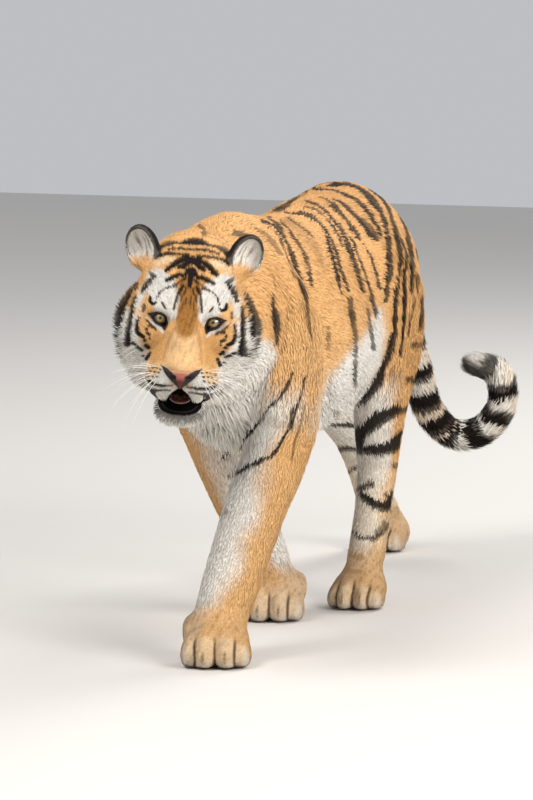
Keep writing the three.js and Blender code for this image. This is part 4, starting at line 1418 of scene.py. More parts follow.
def body_ink(points, normals, part, spots, seen):
    """Stripes of the body."""
    x, y, z = points.T
    flank = painted(spots, FLANK, 2.2, 1.02, 1.9) * seen * ease(y, -110, -30) * 1.3
    flank *= 1 - 0.1 * (1 + waves(points, 45, 25))
    front = painted(spots, FRONT, 3.0, 1.35) * seen * ease(y, 140, 60) * 1.1
    spine = SPINE_X * ease(y, 700, 0)
    rear_spots = np.stack([np.abs(x - spine) + 3 * waves(points, 90, 26), z + 6 * waves(points, 90, 27)],
                          axis=1)
    rear = painted(rear_spots, REAR, 4.0) * (1 - seen) * ease(y, 760, 860)
    belly_spots = np.stack([y + 5 * waves(points, 80, 28), x], axis=1)
    bars = painted(belly_spots, BELLY_BARS, 10.0) * ease(-normals[:, 2], 0.5, 0.8) * part["trunk"]
    local = part_to_head(points)
    crown_spots = np.stack([np.abs(local[:, 0]) + 3 * waves(points, 60, 61), local[:, 1]], axis=1)
    crown = painted(crown_spots, CROWN, 3.0) * ease(local[:, 1], -138, -152) * (1 - 0.6 * seen)
    crown = crown * ease(local[:, 2], 0, 40)
    return np.maximum.reduce([flank, front, rear, bars, crown])


print("stripes of rump, nape and belly", len(REAR), len(CROWN), len(BELLY_BARS))

# %% Colours of legs, paws and tail
LEG_BARS = {
    # height, thickness, strength, first and last angle round the leg (0 forward, 90 outward)
    "left_front": ((505, 9, 0.5, -150, -60), (430, 8, 0.45, -150, -50), (352, 7, 0.35, -140, -50)),
    "right_front": ((505, 9, 0.5, -150, -60), (430, 8, 0.5, -150, -40), (352, 8, 0.45, -140, -40)),
    "left_hind": ((560, 13, 0.9, 70, 175), (490, 15, 0.9, 75, 180), (430, 15, 0.9, 60, 190),
                  (372, 12, 0.9, 70, 180), (300, 13, 0.9, 60, 160), (235, 11, 0.85, 50, 150),
                  (172, 9, 0.7, 60, 150)),
    "right_hind": ((590, 15, 1.0, -60, 175), (520, 17, 1.0, -90, 180), (455, 17, 1.0, -90, 190),
                   (392, 15, 1.0, -90, 180), (318, 13, 0.95, -80, 170), (262, 13, 0.9, -70, 160),
                   (205, 10, 0.85, -70, 160), (150, 9, 0.7, -60, 150)),
}
FORELEG_WHITE = ((60, -40), (110, -20), (150, 0), (200, 6), (290, 22), (340, 12), (400, 6), (480, 26),
                 (560, 34), (640, 20))
TAIL_BANDS = ((100, 24, 0.9), (190, 26, 0.95), (280, 28, 1.0), (370, 30, 1.0), (455, 34, 1.0),
              (540, 44, 1.0), (616, 42, 1.0), (666, 24, 1.0), (724, 32, 1.0), (790, 28, 1.0),
              (850, 26, 1.0), (915, 30, 0.9))


def leg_angle(name, points):
    """Angle round the leg: 0 forward, 90 outward, 180 behind, negative on the inner side."""
    offset = on_line(points, LIMB_LINES[name])[2]
    away = 1 if name.startswith("left") else -1
    angle = np.degrees(np.arctan2(offset[:, 0] * away, -offset[:, 1]))
    return np.where(angle < -150, angle + 360, angle)


def leg_base(name, points, angle, colours):
    z = points[:, 2]
    wave = 12 * waves(points, 130, 31)
    if "front" in name:
        edge = np.interp(z, *zip(*FORELEG_WHITE)) - (24 if name == "right_front" else 0)
        inner = ease(angle + wave, edge + 34, edge - 26) * ease(z, 600, 520)
        inner = np.where(angle > 150, 0, inner)
        out = mixed(colours, ORANGE, ease(z, 480, 420))
        out = mixed(out, PAW_TAN, 0.6 * ease(z, 560, 260))
        return mixed(out, WHITE, inner * 0.95)
    inner = ease(angle + wave, 60, 12) * ease(z, 520, 430)
    inner = np.where(angle > 160, 0, inner)
    out = mixed(colours, ORANGE, 0.7 * ease(z, 520, 430))
    out = mixed(out, WHITE, inner * 0.92)
    return mixed(out, CREAM, 0.5 * ease(z, 330, 200))


def leg_ink(name, points, angle, spots, seen):
    ink = np.zeros(len(points))
    if name == "left_hind":
        ink = painted(spots, LEFT_HIND, 4.0, 1.45) * ease(seen, 0.2, 0.8) * ease(angle, 112, 92)
    level = points[:, 2] + 7 * waves(points, 110, 32) + 0.12 * np.abs(angle)
    for height, thick, strength, first, last in LEG_BARS[name]:
        bar = ease(thick / 2 + 2 - np.abs(level - height), 0, 4)
        bar = bar * ease(angle, first - 8, first + 8) * ease(angle, last + 8, last - 8)
        np.maximum(ink, strength * bar, out=ink)
    return ink


def paw_colour(name, points, colours):
    """Tan on top, white toes, dark lines over the claws, and painted shade in the gaps between the toes.
    """
    turn, place = paw_frame(PAWS[name])
    w, l = PAWS[name]["wide"], PAWS[name]["long"]
    side, ahead, _ = ((points - place) @ turn / [w, -l, 1]).T
    out = mixed(colours, PAW_TAN, 0.8 * ease(points[:, 2], 150, 90))
    out = mixed(out, BROWN, 0.3 * ease(waves(points * [1.6, 1, 1], 18, 71), 0.2, 1.0))
    toes = ease(ahead, 0.3, 0.44)
    out = mixed(out, CREAM, toes * 0.45)
    outer = np.abs(side)
    out = mixed(out, WHITE, ease(outer, 0.36, 0.45) * 0.5 * toes)
    out = mixed(out, WHITE, 0.4 * ease(points[:, 2], 30, 12))
    # painted shade in the gaps between the toes
    between = np.minimum(outer, np.abs(outer - 0.275))
    toe_gap_shade = ease(between * w, 4.4, 1.4) * ease(ahead, 0.22, 0.36) * ease(points[:, 2], 74, 48)
    claws = ease(np.minimum(np.abs(outer - 0.155), np.abs(outer - 0.37)) * w, 3.0, 1.2)
    claws = claws * ease(ahead, 0.5, 0.54) * ease(points[:, 2], 12, 18) * ease(points[:, 2], 46, 32)
    return mixed(out, BROWN * 0.5, np.clip(0.9 * toe_gap_shade + 0.7 * claws, 0, 0.92))


def tail_colour(points, normals):
    along, _, offset = on_line(points, LIMB_LINES["tail"])
    inner = -offset[:, 0] / 38
    out = mixed(GREY_WHITE, ORANGE, 0.7 * ease(along, 420, 250) * ease(inner, 0.3, -0.3))
    out = mixed(out, PALE_TAN, 0.35 * ease(-inner, 0.1, 0.8))
    out = mixed(out, PALE_TAN, 0.4 * ease(along, 520, 560) * ease(along, 680, 640))
    slip = along + 5 * waves(points, 70, 41) + 6 * inner
    ink = np.zeros(len(points))
    for place, wide, strength in TAIL_BANDS:
        np.maximum(ink, strength * ease(wide / 2 + 7 - np.abs(slip - place), 0, 4), out=ink)
    tip = ease(along, 872, 900) * ease(-inner + 0.5 * normals[:, 2], 0.35, -0.2)
    return mixed(out, DARK, np.maximum(ink, 0.9 * tip))


print("bars of the legs", {name: len(bars) for name, bars in LEG_BARS.items()})

# %% The colour anywhere on the animal
def coat_colour(points, normals):
    part = shares(points)
    local = part_to_head(points)
    spots, seen = stencil_spots(points, normals)
    colours = body_base(points, normals, part, spots, seen)
    ink = body_ink(points, normals, part, spots, seen)
    for name in PAWS:
        angle = leg_angle(name, points)
        top = 620 if "front" in name else 640
        share = part[name] * ease(points[:, 2], top, 0.8 * top)
        colours = mixed(colours, leg_base(name, points, angle, colours), share)
        marks = leg_ink(name, points, angle, spots, seen) * ease(part[name], 0.2, 0.5)
        np.maximum(ink, marks, out=ink)
    colours = mixed(colours, DARK, np.clip(ink, 0, 0.98))
    for name in PAWS:
        share = part[name] * ease(points[:, 2], 140, 110)
        colours = mixed(colours, paw_colour(name, points, colours), share)
    colours = mixed(colours, tail_colour(points, normals), ease(part["tail"], 0.35, 0.65))
    head = ease(local[:, 1], -178, -128) * ease(part["head"], 0.1, 0.5)
    colours = mixed(colours, face_colour(points, local), head)
    return np.clip(ear_colour(local, colours), 0.003, 0.95)


skin_colours = coat_colour(skin_points, skin_normals)
print("skin colours", skin_colours.mean(axis=0).round(3))

# %% [markdown]
# ## Tufts
#
# Single hairs would need many millions of faces, and flat cards would leave open edges. So a
# tuft of the coat is one thin closed sliver: a root just under the skin, three corners at two
# fifths of its length and a tip. Roots are spread evenly by keeping one candidate in each cell.

# %% Roots on the skin
CROWD = 3.2  # candidates for each cell of the spacing
WIDEN = 1.12  # the cells are this much wider than the spacing
CELL_KEY = (92821, 68917, 7)  # three odd strides that give each cell a number of its own


def triangle_roots(points, quads, spacing):
    """Candidate points spread over the quads, about three for each cell of the spacing."""
    triangles = np.vstack([quads[:, [0, 1, 2]], quads[:, [0, 2, 3]]])
    a, b, c = (points[triangles[:, i]] for i in range(3))
    area = 0.5 * np.linalg.norm(np.cross(b - a, c - a), axis=1)
    apart = spacing[triangles].mean(axis=1)
    wanted = CROWD * area / apart ** 2
    count = np.floor(wanted + rng.random(len(wanted))).astype(int)
    which = np.repeat(np.arange(len(triangles)), count)
    u, v = rng.random(len(which)), rng.random(len(which))
    flip = u + v > 1
    u[flip], v[flip] = 1 - u[flip], 1 - v[flip]
    mix = np.stack([1 - u - v, u, v], axis=1)
    return triangles[which], mix


def evenly(points, spacing):
    """Indices that keep one point in each cell as wide as the spacing there."""
    size = 2.0 ** (np.round(np.log2(spacing) * 4) / 4)
    cell = np.floor(points / size[:, None]).astype(np.int64)
    key = (cell[:, 0] * CELL_KEY[0] + cell[:, 1]) * CELL_KEY[1] + cell[:, 2]
    key = key + (size * 1000).astype(np.int64) * CELL_KEY[2]
    order = rng.permutation(len(points))
    _, first = np.unique(key[order], return_index=True)
    return order[first]


corners, mix = triangle_roots(skin_points, skin_quads, spacing)


def carried(values):
    """Values of the skin's corners, blended to the roots."""
    if values.ndim == 1:
        return np.sum(values[corners] * mix, axis=1)
    return np.einsum("ijk,ij->ik", values[corners], mix)


root = carried(skin_points)
kept = evenly(root, carried(spacing) * WIDEN)
corners, mix, root = corners[kept], mix[kept], root[kept]
hairy = np.maximum.reduce(bareness(part_to_head(root))) < 0.5
corners, mix, root = corners[hairy], mix[hairy], root[hairy]
print("roots", len(root), "bare", np.count_nonzero(~hairy))

# %% Meshes from arrays
COLOUR_LAYER = "Coat"


def mesh_object(name, points, faces, colours, normals=None):
    """A smooth object from points in part millimetres, equal faces, and one or many colours."""
    mesh = bpy.data.meshes.new(name)
    sides = faces.shape[1]
    mesh.vertices.add(len(points))
    mesh.vertices.foreach_set("co", (points * MM + ORIGIN).astype(np.float32).ravel())
    mesh.loops.add(faces.size)
    mesh.loops.foreach_set("vertex_index", faces.astype(np.int32).ravel())
    mesh.polygons.add(len(faces))
    mesh.polygons.foreach_set("loop_start", np.arange(0, faces.size, sides, dtype=np.int32))
    mesh.polygons.foreach_set("loop_total", np.full(len(faces), sides, np.int32))
    mesh.polygons.foreach_set("use_smooth", np.ones(len(faces), bool))
    mesh.update(calc_edges=True)
    layer = mesh.color_attributes.new(COLOUR_LAYER, "FLOAT_COLOR", "POINT")
    rgba = np.ones((len(points), 4), np.float32)
    rgba[:, :3] = colours
    layer.data.foreach_set("color", rgba.ravel())
    if normals is not None:
        mesh.normals_split_custom_set_from_vertices(normals.astype(np.float32))
    return placed(name, mesh)


print("meshes are painted in the layer", COLOUR_LAYER)

# %% Tuft shapes
ROOT_DEPTH = 1.6  # how far the root lies under the skin
BELLY_ALONG, BELLY_RISE = 0.42, 0.62  # where the three middle corners lie
RIDGE_SHARE, RIDGE_LEAST = 0.09, 0.2  # how high the tuft is in its middle
TUFT_FACES = np.array([(0, 1, 3), (0, 3, 2), (0, 2, 1), (4, 3, 1), (4, 2, 3), (4, 1, 2)])


def tuft_corners(root, normal, way, length, lift, width):
    """Five corners for each tuft: root, left, right and top at two fifths, tip."""
    across = np.cross(way, normal)
    reach = length * np.cos(lift)
    rise = length * np.sin(lift)
    belly = root + way * (BELLY_ALONG * reach)[:, None] + normal * (BELLY_RISE * rise)[:, None]
    half = across * (width / 2)[:, None]
    out = np.empty((len(root), 5, 3))
    out[:, 0] = root - normal * ROOT_DEPTH
    out[:, 1] = belly + half
    out[:, 2] = belly - half
    out[:, 3] = belly + normal * (RIDGE_SHARE * width + RIDGE_LEAST)[:, None]
    out[:, 4] = root + way * reach[:, None] + normal * rise[:, None]
    return out


print("faces of a tuft", len(TUFT_FACES))

# %% Tufts on all roots
STRAY = 7.0  # degrees
LENGTHS, LIFTS, WIDTHS = (0.78, 1.15), (0.6, 1.45), (0.7, 1.0)  # each a range of factors
root_normal = unit(carried(skin_normals))
stray = np.radians(rng.normal(0, STRAY, len(root)))
root_way = on_skin(carried(way), root_normal, stray)
root_length = carried(length) * rng.uniform(*LENGTHS, len(root))
root_lift = carried(lift) * rng.uniform(*LIFTS, len(root))
root_width = carried(spacing) * rng.uniform(*WIDTHS, len(root))
tufts = tuft_corners(root, root_normal, root_way, root_length, root_lift, root_width)
print("tufts", len(tufts), "triangles", 6 * len(tufts))

# %% [markdown]
# Every tuft also gets a small patch on a flat map of the coat. The map unrolls each part of the
# body round its own middle line: head and trunk round their length, legs and tail round theirs.

# %% The coat's map
CHARTS = {
    # part: left, bottom, width, height on the map
    "head": (0.01, 0.01, 0.48, 0.41), "neck": (0.51, 0.01, 0.24, 0.41),
    "trunk": (0.01, 0.44, 0.61, 0.55), "left_front": (0.64, 0.44, 0.11, 0.55),
    "right_front": (0.76, 0.44, 0.11, 0.55), "left_hind": (0.88, 0.44, 0.11, 0.55),
    "right_hind": (0.77, 0.01, 0.1, 0.41), "tail": (0.89, 0.01, 0.1, 0.41),
}
PATCH = 0.003 * np.array([(0, -0.5), (0.45, 0), (-0.45, 0), (0, 0.1), (0, 0.5)])
TRUNK_AXIS = 650.0
TURN = 2 * np.pi


def unrolled(points, names, belongs):
    """Places on the map, by the part that each point belongs to."""
    local = part_to_head(points)
    x, y, z = points.T
    round_trunk = np.arctan2(x - 10, z - TRUNK_AXIS) / TURN + 0.5
    where = {
        "head": (np.arctan2(local[:, 0], local[:, 2] + 50) / TURN + 0.5, (local[:, 1] + 260) / 410),
        "neck": (round_trunk, (y + 460) / 560),
        "trunk": (round_trunk, (y + 240) / 1300),
        "tail": (np.arctan2(x - 60, z - 380) / TURN + 0.5,
                 on_line(points, LIMB_LINES["tail"])[0] / 1020),
    }
    for name in PAWS:
        where[name] = (leg_angle(name, points) / 360 + 0.42, z / 860)
    out = np.zeros((len(points), 2))
    for k, name in enumerate(names):
        left, bottom, width, height = CHARTS[name]
        spot = np.stack([left + width * np.clip(where[name][0], 0, 1),
                         bottom + height * np.clip(where[name][1], 0, 1)], axis=1)
        out[belongs == k] = spot[belongs == k]
    return out


part_names = list(CHARTS)
root_shares = shares(root)
root_part = np.argmax([root_shares[name] for name in part_names], axis=0)
root_map = unrolled(root, part_names, root_part)
print("tufts of each part", dict(zip(part_names, np.bincount(root_part))))

# %% [markdown]
# No two tufts have quite the same tone. Each asks for its colour a little way along its length,
# so the edges of the stripes are ragged as real ones are. Each is also painted darker at its
# root, a painted shade where the tufts shadow each other in a thick coat, and lighter at its tip,
# a painted highlight where light catches the tips.

# %% Colour of each tuft
# painted shade at a tuft's root and painted light at its tip
PAINTED_SHADE_AND_LIGHT = np.array([0.5, 0.86, 0.86, 1.03, 1.14])  # brightness of a tuft's five corners
HEAD_SPREAD, BODY_SPREAD = 0.17, 0.12  # how much the tone varies
HEAD_SLIDE, BODY_SLIDE = 0.5, 0.3  # how far along the tuft its colour is asked, at most
TIP_SHARE = 0.25

on_head = root_part == part_names.index("head")
spread = np.where(on_head, HEAD_SPREAD, BODY_SPREAD)
brightness = 1.0 + spread * np.clip(rng.normal(0, 1, len(root)), -2.4, 1.6)
slide = (rng.uniform(0.0, 1.0, len(root)) * np.where(on_head, HEAD_SLIDE, BODY_SLIDE))[:, None]
asked_at = tufts[:, 0] + slide * (tufts[:, 4] - tufts[:, 0])
tuft_colour = coat_colour(asked_at, root_normal)
tip_colour = coat_colour(tufts[:, 4], root_normal)
tip_colour = (1 - TIP_SHARE) * tuft_colour + TIP_SHARE * tip_colour
corner_colours = np.stack([tuft_colour] * 4 + [tip_colour], axis=1)
# each corner gets its painted shade or painted light along the tuft
corner_colours = corner_colours * brightness[:, None, None] * PAINTED_SHADE_AND_LIGHT[None, :, None]
corner_colours = np.clip(corner_colours, 0.004, 0.97)
print("mean tuft colour", tuft_colour.mean(axis=0).round(3))

# %% [markdown]
# ## Eyes and lids
#
# A tiger's eye is golden with a small round pupil. The ball's front bulges slightly as a cornea
# does, and iris and pupil are painted round the line of sight. The lids are one closed band:
# from the opening, which lies on the ball, over a rounded rim to the dark skin, and back below.

# %% Tubes and balls from rings
def tube_faces(rings, sides):
    """Triangles of a closed tube: rings of corners, then one corner for each end."""
    i, j = (v.ravel() for v in np.meshgrid(np.arange(rings - 1), np.arange(sides), indexing="ij"))
    a, b = i * sides + j, i * sides + (j + 1) % sides
    c, d = b + sides, a + sides
    first, last = np.arange(sides), (rings - 1) * sides + np.arange(sides)
    start, end = np.full(sides, rings * sides), np.full(sides, rings * sides + 1)
    corners = ((a, b, c), (a, c, d), (start, np.roll(first, -1), first), (end, last, np.roll(last, -1)))
    return np.vstack([np.stack(three, 1) for three in corners])


print("triangles of a tube of two rings of four", len(tube_faces(2, 4)))

# %% Eyeballs
EYE_AT = np.array([53.0, -1.0, -3.0])
EYE_BALL = 18.0
CORNEA, CORNEA_WIDE = 1.1, 0.62  # how far the front bulges, and half its width in radians
EYE_RINGS, EYE_AROUND = 56, 112
GAZE = np.array([-0.03, 0.93, 0.33])
IRIS_INNER, IRIS_OUTER = np.array([0.31, 0.225, 0.075]), np.array([0.12, 0.095, 0.035])
PUPIL_RADIUS, IRIS_RADIUS = 3.3, 9.6
BEHIND = 20  # stands for the back of the ball when it is painted
SIDES = ((1, "right"), (-1, "left"))
BARE_PARTS = {}


def eyeball(side):
    gaze = GAZE * [side, 1, 1] / np.linalg.norm(GAZE)
    right = np.cross(gaze, [0, 0, 1])
    right /= np.linalg.norm(right)
    up = np.cross(right, gaze)
    tilt = np.pi * (np.arange(1, EYE_RINGS) / EYE_RINGS) ** 1.4
    spin = 2 * np.pi * np.arange(EYE_AROUND) / EYE_AROUND
    t, p = (v.ravel() for v in np.meshgrid(tilt, spin, indexing="ij"))
    radius = EYE_BALL + CORNEA * np.clip(1 - (t / CORNEA_WIDE) ** 2, 0, 1) ** 2
    ring = (np.cos(p)[:, None] * right + np.sin(p)[:, None] * up) * np.sin(t)[:, None]
    points = (ring + np.cos(t)[:, None] * gaze) * radius[:, None]
    points = np.vstack([points, gaze * (EYE_BALL + CORNEA), -gaze * EYE_BALL])
    wide = np.append(radius * np.sin(t), [0, BEHIND])
    wide[:-2][t > np.pi / 2] = BEHIND
    streak = np.append(np.tile(rng.uniform(0.72, 1.25, EYE_AROUND), EYE_RINGS - 1), [1, 1])
    across = ease(wide, PUPIL_RADIUS, IRIS_RADIUS)[:, None]
    colours = (IRIS_INNER + (IRIS_OUTER - IRIS_INNER) * across) * streak[:, None]
    colours = mixed(colours, LIP_BLACK, ease(wide, IRIS_RADIUS - 1.2, IRIS_RADIUS + 0.6))
    colours = mixed(colours, LIP_BLACK * 0.3, ease(wide, PUPIL_RADIUS + 0.3, PUPIL_RADIUS - 0.3))
    faces = tube_faces(EYE_RINGS - 1, EYE_AROUND)[:, ::-1]
    return head_to_part(points + EYE_AT * [side, 1, 1]), faces, colours


for side, name in SIDES:
    BARE_PARTS["eyeball_" + name] = (*eyeball(side), "wet", "eye_" + name)
print("triangles of an eyeball", len(BARE_PARTS["eyeball_right"][1]))

# %% Lids
LID_POINTS = 96
LID_LOOPS = [
    # share of the way from the opening to the outline, height over ball and skin
    (0.0, -2.5), (0.0, 0.7), (0.03, 1.7), (0.1, 2.3), (0.22, 2.1), (0.4, 1.5), (0.62, 1.1),
    (0.84, 0.8), (1.0, 0.4), (1.07, -2.5), (0.5, -6.0),
]


def band(loops, flip):
    """One closed band: each loop is joined to the next and the last to the first."""
    n, m = len(loops[0]), len(loops)
    i, j = np.meshgrid(np.arange(m), np.arange(n), indexing="ij")
    next_i, next_j = (i + 1) % m, (j + 1) % n
    quads = np.stack([i * n + j, i * n + next_j, next_i * n + next_j, next_i * n + j], axis=-1)
    quads = quads.reshape(-1, 4)
    return np.concatenate(loops), quads[:, ::-1] if flip else quads


def lids(side):
    edge, outline = (smooth_path(p, LID_POINTS, closed=True) for p in (LID_EDGE, LID_OUTLINE))
    away = np.linalg.norm(edge - [EYE_AT[0], EYE_AT @ FACE_UP], axis=1)
    ball = EYE_AT @ FACE_OUT + np.sqrt(EYE_BALL ** 2 - np.minimum(away, 0.93 * EYE_BALL) ** 2)
    skin_there = face_reach(outline)
    loops = []
    for share, raised in LID_LOOPS:
        spots = edge + share * (outline - edge)
        reach = ball + share * (skin_there - ball) + raised
        if 0.05 < share <= 1 and raised > 0:
            reach = np.maximum(reach, face_reach(spots) + 0.5)
        loops.append(face_point(spots, reach) * [side, 1, 1])
    points, quads = band(loops, side > 0)
    return head_to_part(points), quads, LIP_BLACK * 1.3


for side, name in SIDES:
    BARE_PARTS["lids_" + name] = (*lids(side), "leather", None)
print("eyes and lids", {name: len(p[1]) for name, p in BARE_PARTS.items()})

# %% [markdown]
# ## Nose, mouth and whiskers
#
# The nose pad is bare, finely pitted skin, pink with dark edges. It follows the tip of the
# muzzle, cut to its outline, with two nostrils pressed in. A thin roll along each edge of the
# mouth catches the light as a moist lip does, and a tongue lies behind them.

# %% Nose pad
NOSE_LUMPS = [
    lump((0, 122, -64), (34, 13, 13), soft=8),
    lump((23, 121, -66), (13, 12, 12), twin=True, soft=8),  # wings
    lump((0, 122, -82), (13, 11, 20), soft=8),
]
NOSTRILS = [
    lump((17, 136, -70), (8, 9, 5.5), twin=True, soft=3),
    lump((27, 130, -75), (9, 6, 3.2), twin=True, soft=3),  # slits
]
NOSE_BOX = ((-46, 84, -118), (46, 150, -36), 1.5)  # low and high corner, cell
NOSE_RAISED, NOSE_EDGE, NOSE_DEEP, NOSTRIL_EDGE = 1.4, 4.0, 11.0, 2.5
NOSE_TOP = np.array([0.42, 0.23, 0.14])
NOSE_PINK = np.array([0.42, 0.13, 0.09])
NOSE_RED = np.array([0.1, 0.02, 0.015])
NOSE_DARK_FROM = ((-141, 0), (-135, 3), (-128, 6), (-116, 11), (-108, 18), (-103, 26), (-98, 33))


def nose_pad():
    nose = pressed_together(NOSE_LUMPS, *NOSE_BOX)
    holes = pressed_together(NOSTRILS, *NOSE_BOX)
    local = block_points(nose)
    shape = nose.values.shape
    head_here = head_grid.sample(local).reshape(shape)
    cut = outline_distance(face_spots(local), NOSE_OUTLINE).reshape(shape)
    values = blend(head_here - NOSE_RAISED, nose.values, 8.0)
    values = -blend(-values, -cut, NOSE_EDGE)
    values = np.maximum(values, -head_here - NOSE_DEEP)
    nose.values = -blend(-values, holes.values, NOSTRIL_EDGE).astype(np.float32)
    points, quads = nose.surface()
    quads = outer_shell(points, quads)
    points, quads = kept_faces(points, quads, np.ones(len(points), bool))
    s, v = face_spots(points).T
    rosy = ease(v, -106, -112) * ease(s, 17, 11)
    colours = mixed(NOSE_TOP, NOSE_PINK, rosy)
    colours = mixed(colours, NOSE_RED, ease(v, -116, -127))
    dark = ease(s - np.interp(v, *zip(*NOSE_DARK_FROM)), -1.5, 1.5)
    # the nostrils painted black with a thin dark rim round them: painted shade inside the holes
    dark = np.maximum(dark, ease(holes.sample(points), 2.2, 0.8))
    colours = mixed(colours, LIP_BLACK, dark)
    return head_to_part(points), quads, colours


BARE_PARTS["nose"] = (*nose_pad(), "leather", "nose_pad")
print("nose pad quads", len(BARE_PARTS["nose"][1]))

# %% Rolls: lips and whiskers are both made with them
ROLL_SIDES, ROLL_CAP = 10, 0.6


def roll(path, radii, sides=ROLL_SIDES):
    """A closed round roll along a path, with blunt pointed ends, as triangles."""
    path = np.asarray(path, float)
    ahead = unit(np.gradient(path, axis=0))
    side = unit(np.cross(ahead, [0.31, 0.22, 0.93]))
    top = np.cross(side, ahead)
    angle = 2 * np.pi * np.arange(sides) / sides
    ring = np.cos(angle)[None, :, None] * side[:, None] + np.sin(angle)[None, :, None] * top[:, None]
    points = path[:, None] + ring * np.asarray(radii, float)[:, None, None]
    ends = [path[0] - ahead[0] * radii[0] * ROLL_CAP, path[-1] + ahead[-1] * radii[-1] * ROLL_CAP]
    return np.vstack([points.reshape(-1, 3), ends]), tube_faces(len(path), sides)


print("sides of a roll", ROLL_SIDES)

# %% Lips
MOUTH_WIDTH, MOUTH_STEPS, RIM_POINTS = 49.0, 29, 121
LIP_HEIGHTS = (-112.0, -206.0)
LIP_THICK, LIP_THINNER = 1.9, 0.7  # radius, and what it loses towards the corners


def mouth_rim(first, last):
    """The rim of the mouth, met from above or below, over both halves of the face."""
    rim = []
    for s in np.linspace(0, MOUTH_WIDTH, MOUTH_STEPS):
        v = np.arange(first, last, 0.5 if last > first else -0.5)
        spots = np.stack([np.full(len(v), s), v], axis=1)
        reach = face_reach(spots)
        open_here = mouth_grid.sample(face_point(spots, reach)) < 1.2
        if open_here.any():
            k = max(int(open_here.argmax()) - 1, 0)
            rim.append(face_point(spots[k:k + 1], reach[k:k + 1])[0])
    rim = np.array(rim)
    rim = np.vstack([rim[:0:-1] * [-1, 1, 1], rim])
    for _ in range(4):
        rim[1:-1] = (rim[:-2] + 2 * rim[1:-1] + rim[2:]) / 4
    return smooth_path(rim, RIM_POINTS)


for name, rim in (("upper", mouth_rim(*LIP_HEIGHTS)), ("lower", mouth_rim(*LIP_HEIGHTS[::-1]))):
    thick = LIP_THICK - LIP_THINNER * ease(np.abs(rim[:, 0]), 34, 48)
    lip_points, lip_faces = roll(rim, thick)
    BARE_PARTS["lip_" + name] = (head_to_part(lip_points), lip_faces, LIP_BLACK, "leather", None)
    print(name, "lip from the middle", rim[RIM_POINTS // 2].round(), "to", rim[-1].round())

# %% Tongue: a flat lump with a groove
TONGUE_LUMPS = [
    lump((0, 34, -151), (25, 42, 9), soft=6),
    lump((0, 40, -140), (1.5, 46, 4), hollow=True, soft=6),
]
TONGUE_RED = (0.1, 0.028, 0.02)

tongue = pressed_together(TONGUE_LUMPS, (-34, -20, -170), (34, 90, -130), 2.0)
tongue_points, tongue_quads = tongue.surface()
BARE_PARTS["tongue"] = (head_to_part(tongue_points), tongue_quads, TONGUE_RED, "wet", None)
print("tongue quads", len(tongue_quads))

# %% [markdown]
# Whiskers are single stiff hairs, thicker than the coat's, in four rows on each side of the
# muzzle, with a few over the eyes and on the cheeks. Each is a thin roll that leaves the skin
# forwards and outwards and then droops, so a formula for its path is enough.

# %% Whiskers and brow hairs
WHISKERS = [
    # spot on the face stencil, length, how far out, up and forward the hair first runs, droop
    ((46, -101), 70, (0.8, 0.25, 0.55), 0.2), ((55, -102), 95, (0.9, 0.1, 0.4), 0.3),
    ((64, -105), 120, (0.95, 0.05, 0.25), 0.4), ((46, -112), 85, (0.85, -0.15, 0.5), 0.35),
    ((54, -112), 125, (0.93, -0.1, 0.35), 0.5), ((62, -113), 150, (0.96, -0.05, 0.2), 0.55),
    ((70, -114), 130, (0.97, 0.0, 0.05), 0.5), ((44, -121), 100, (0.75, -0.45, 0.5), 0.5),
    ((52, -122), 140, (0.8, -0.4, 0.4), 0.65), ((60, -123), 160, (0.88, -0.3, 0.25), 0.7),
    ((67, -123), 140, (0.92, -0.25, 0.05), 0.6), ((48, -130), 110, (0.62, -0.7, 0.4), 0.55),
    ((58, -131), 130, (0.7, -0.65, 0.25), 0.6), ((66, -131), 110, (0.8, -0.55, 0.05), 0.5),
    # brow and cheek
    ((58, 30), 46, (0.35, 0.9, 0.35), -0.1), ((64, 33), 60, (0.5, 0.85, 0.3), -0.05),
    ((52, 34), 40, (0.15, 0.95, 0.4), -0.1), ((60, 38), 54, (0.4, 0.9, 0.2), 0.05),
    ((92, -62), 60, (0.9, -0.1, 0.3), 0.4), ((90, -70), 70, (0.9, -0.3, 0.3), 0.45),
]
WHISKER_STEPS, WHISKER_SIDES = 14, 4
WHISKER_ROOT, WHISKER_TIP = 0.55, 0.18
WHISKER_LENGTH, WHISKER_SPREAD = 0.68, (0.85, 1.1)  # factors on the lengths above
WHISKER_DROOP = 1.2 * np.array([-0.1, -0.35, -0.8])
WHISKER_WHITE = np.array([0.88, 0.85, 0.8])

for side, name in SIDES:
    all_points, all_faces, count = [], [], 0
    for spot, long, heading, droop in WHISKERS:
        spot = np.array(spot, float) + rng.normal(0, 0.7, 2)
        start = face_point(spot[None], face_reach(spot[None]) - 2.0)[0]
        out, up, forward = np.array(heading) + rng.normal(0, 0.06, 3)
        t = np.linspace(0, 1, WHISKER_STEPS)[:, None]
        run = np.array([out, 0, 0]) + up * FACE_UP + forward * FACE_OUT
        run = run / np.linalg.norm(run)
        long = WHISKER_LENGTH * long * rng.uniform(*WHISKER_SPREAD)
        path = start + long * (t * run + droop * t ** 2 * WHISKER_DROOP)
        thick = WHISKER_ROOT + (WHISKER_TIP - WHISKER_ROOT) * t[:, 0]
        points, faces = roll(path * [side, 1, 1], thick, WHISKER_SIDES)
        all_points.append(points)
        all_faces.append(faces + count)
        count += len(points)
    whisker_points = head_to_part(np.concatenate(all_points))
    BARE_PARTS["whiskers_" + name] = (whisker_points, np.concatenate(all_faces), WHISKER_WHITE,
                                      "hair", None)
print("whiskers", len(WHISKERS), "a side")

# %% [markdown]
# ## Materials
#
# The colours are painted on the meshes, so a material only says how a surface takes the light:
# fur is dull, leather has a soft shine, an eye is wet. A grain too fine to model is a bump, which
# one shader group gives to skin and leather.

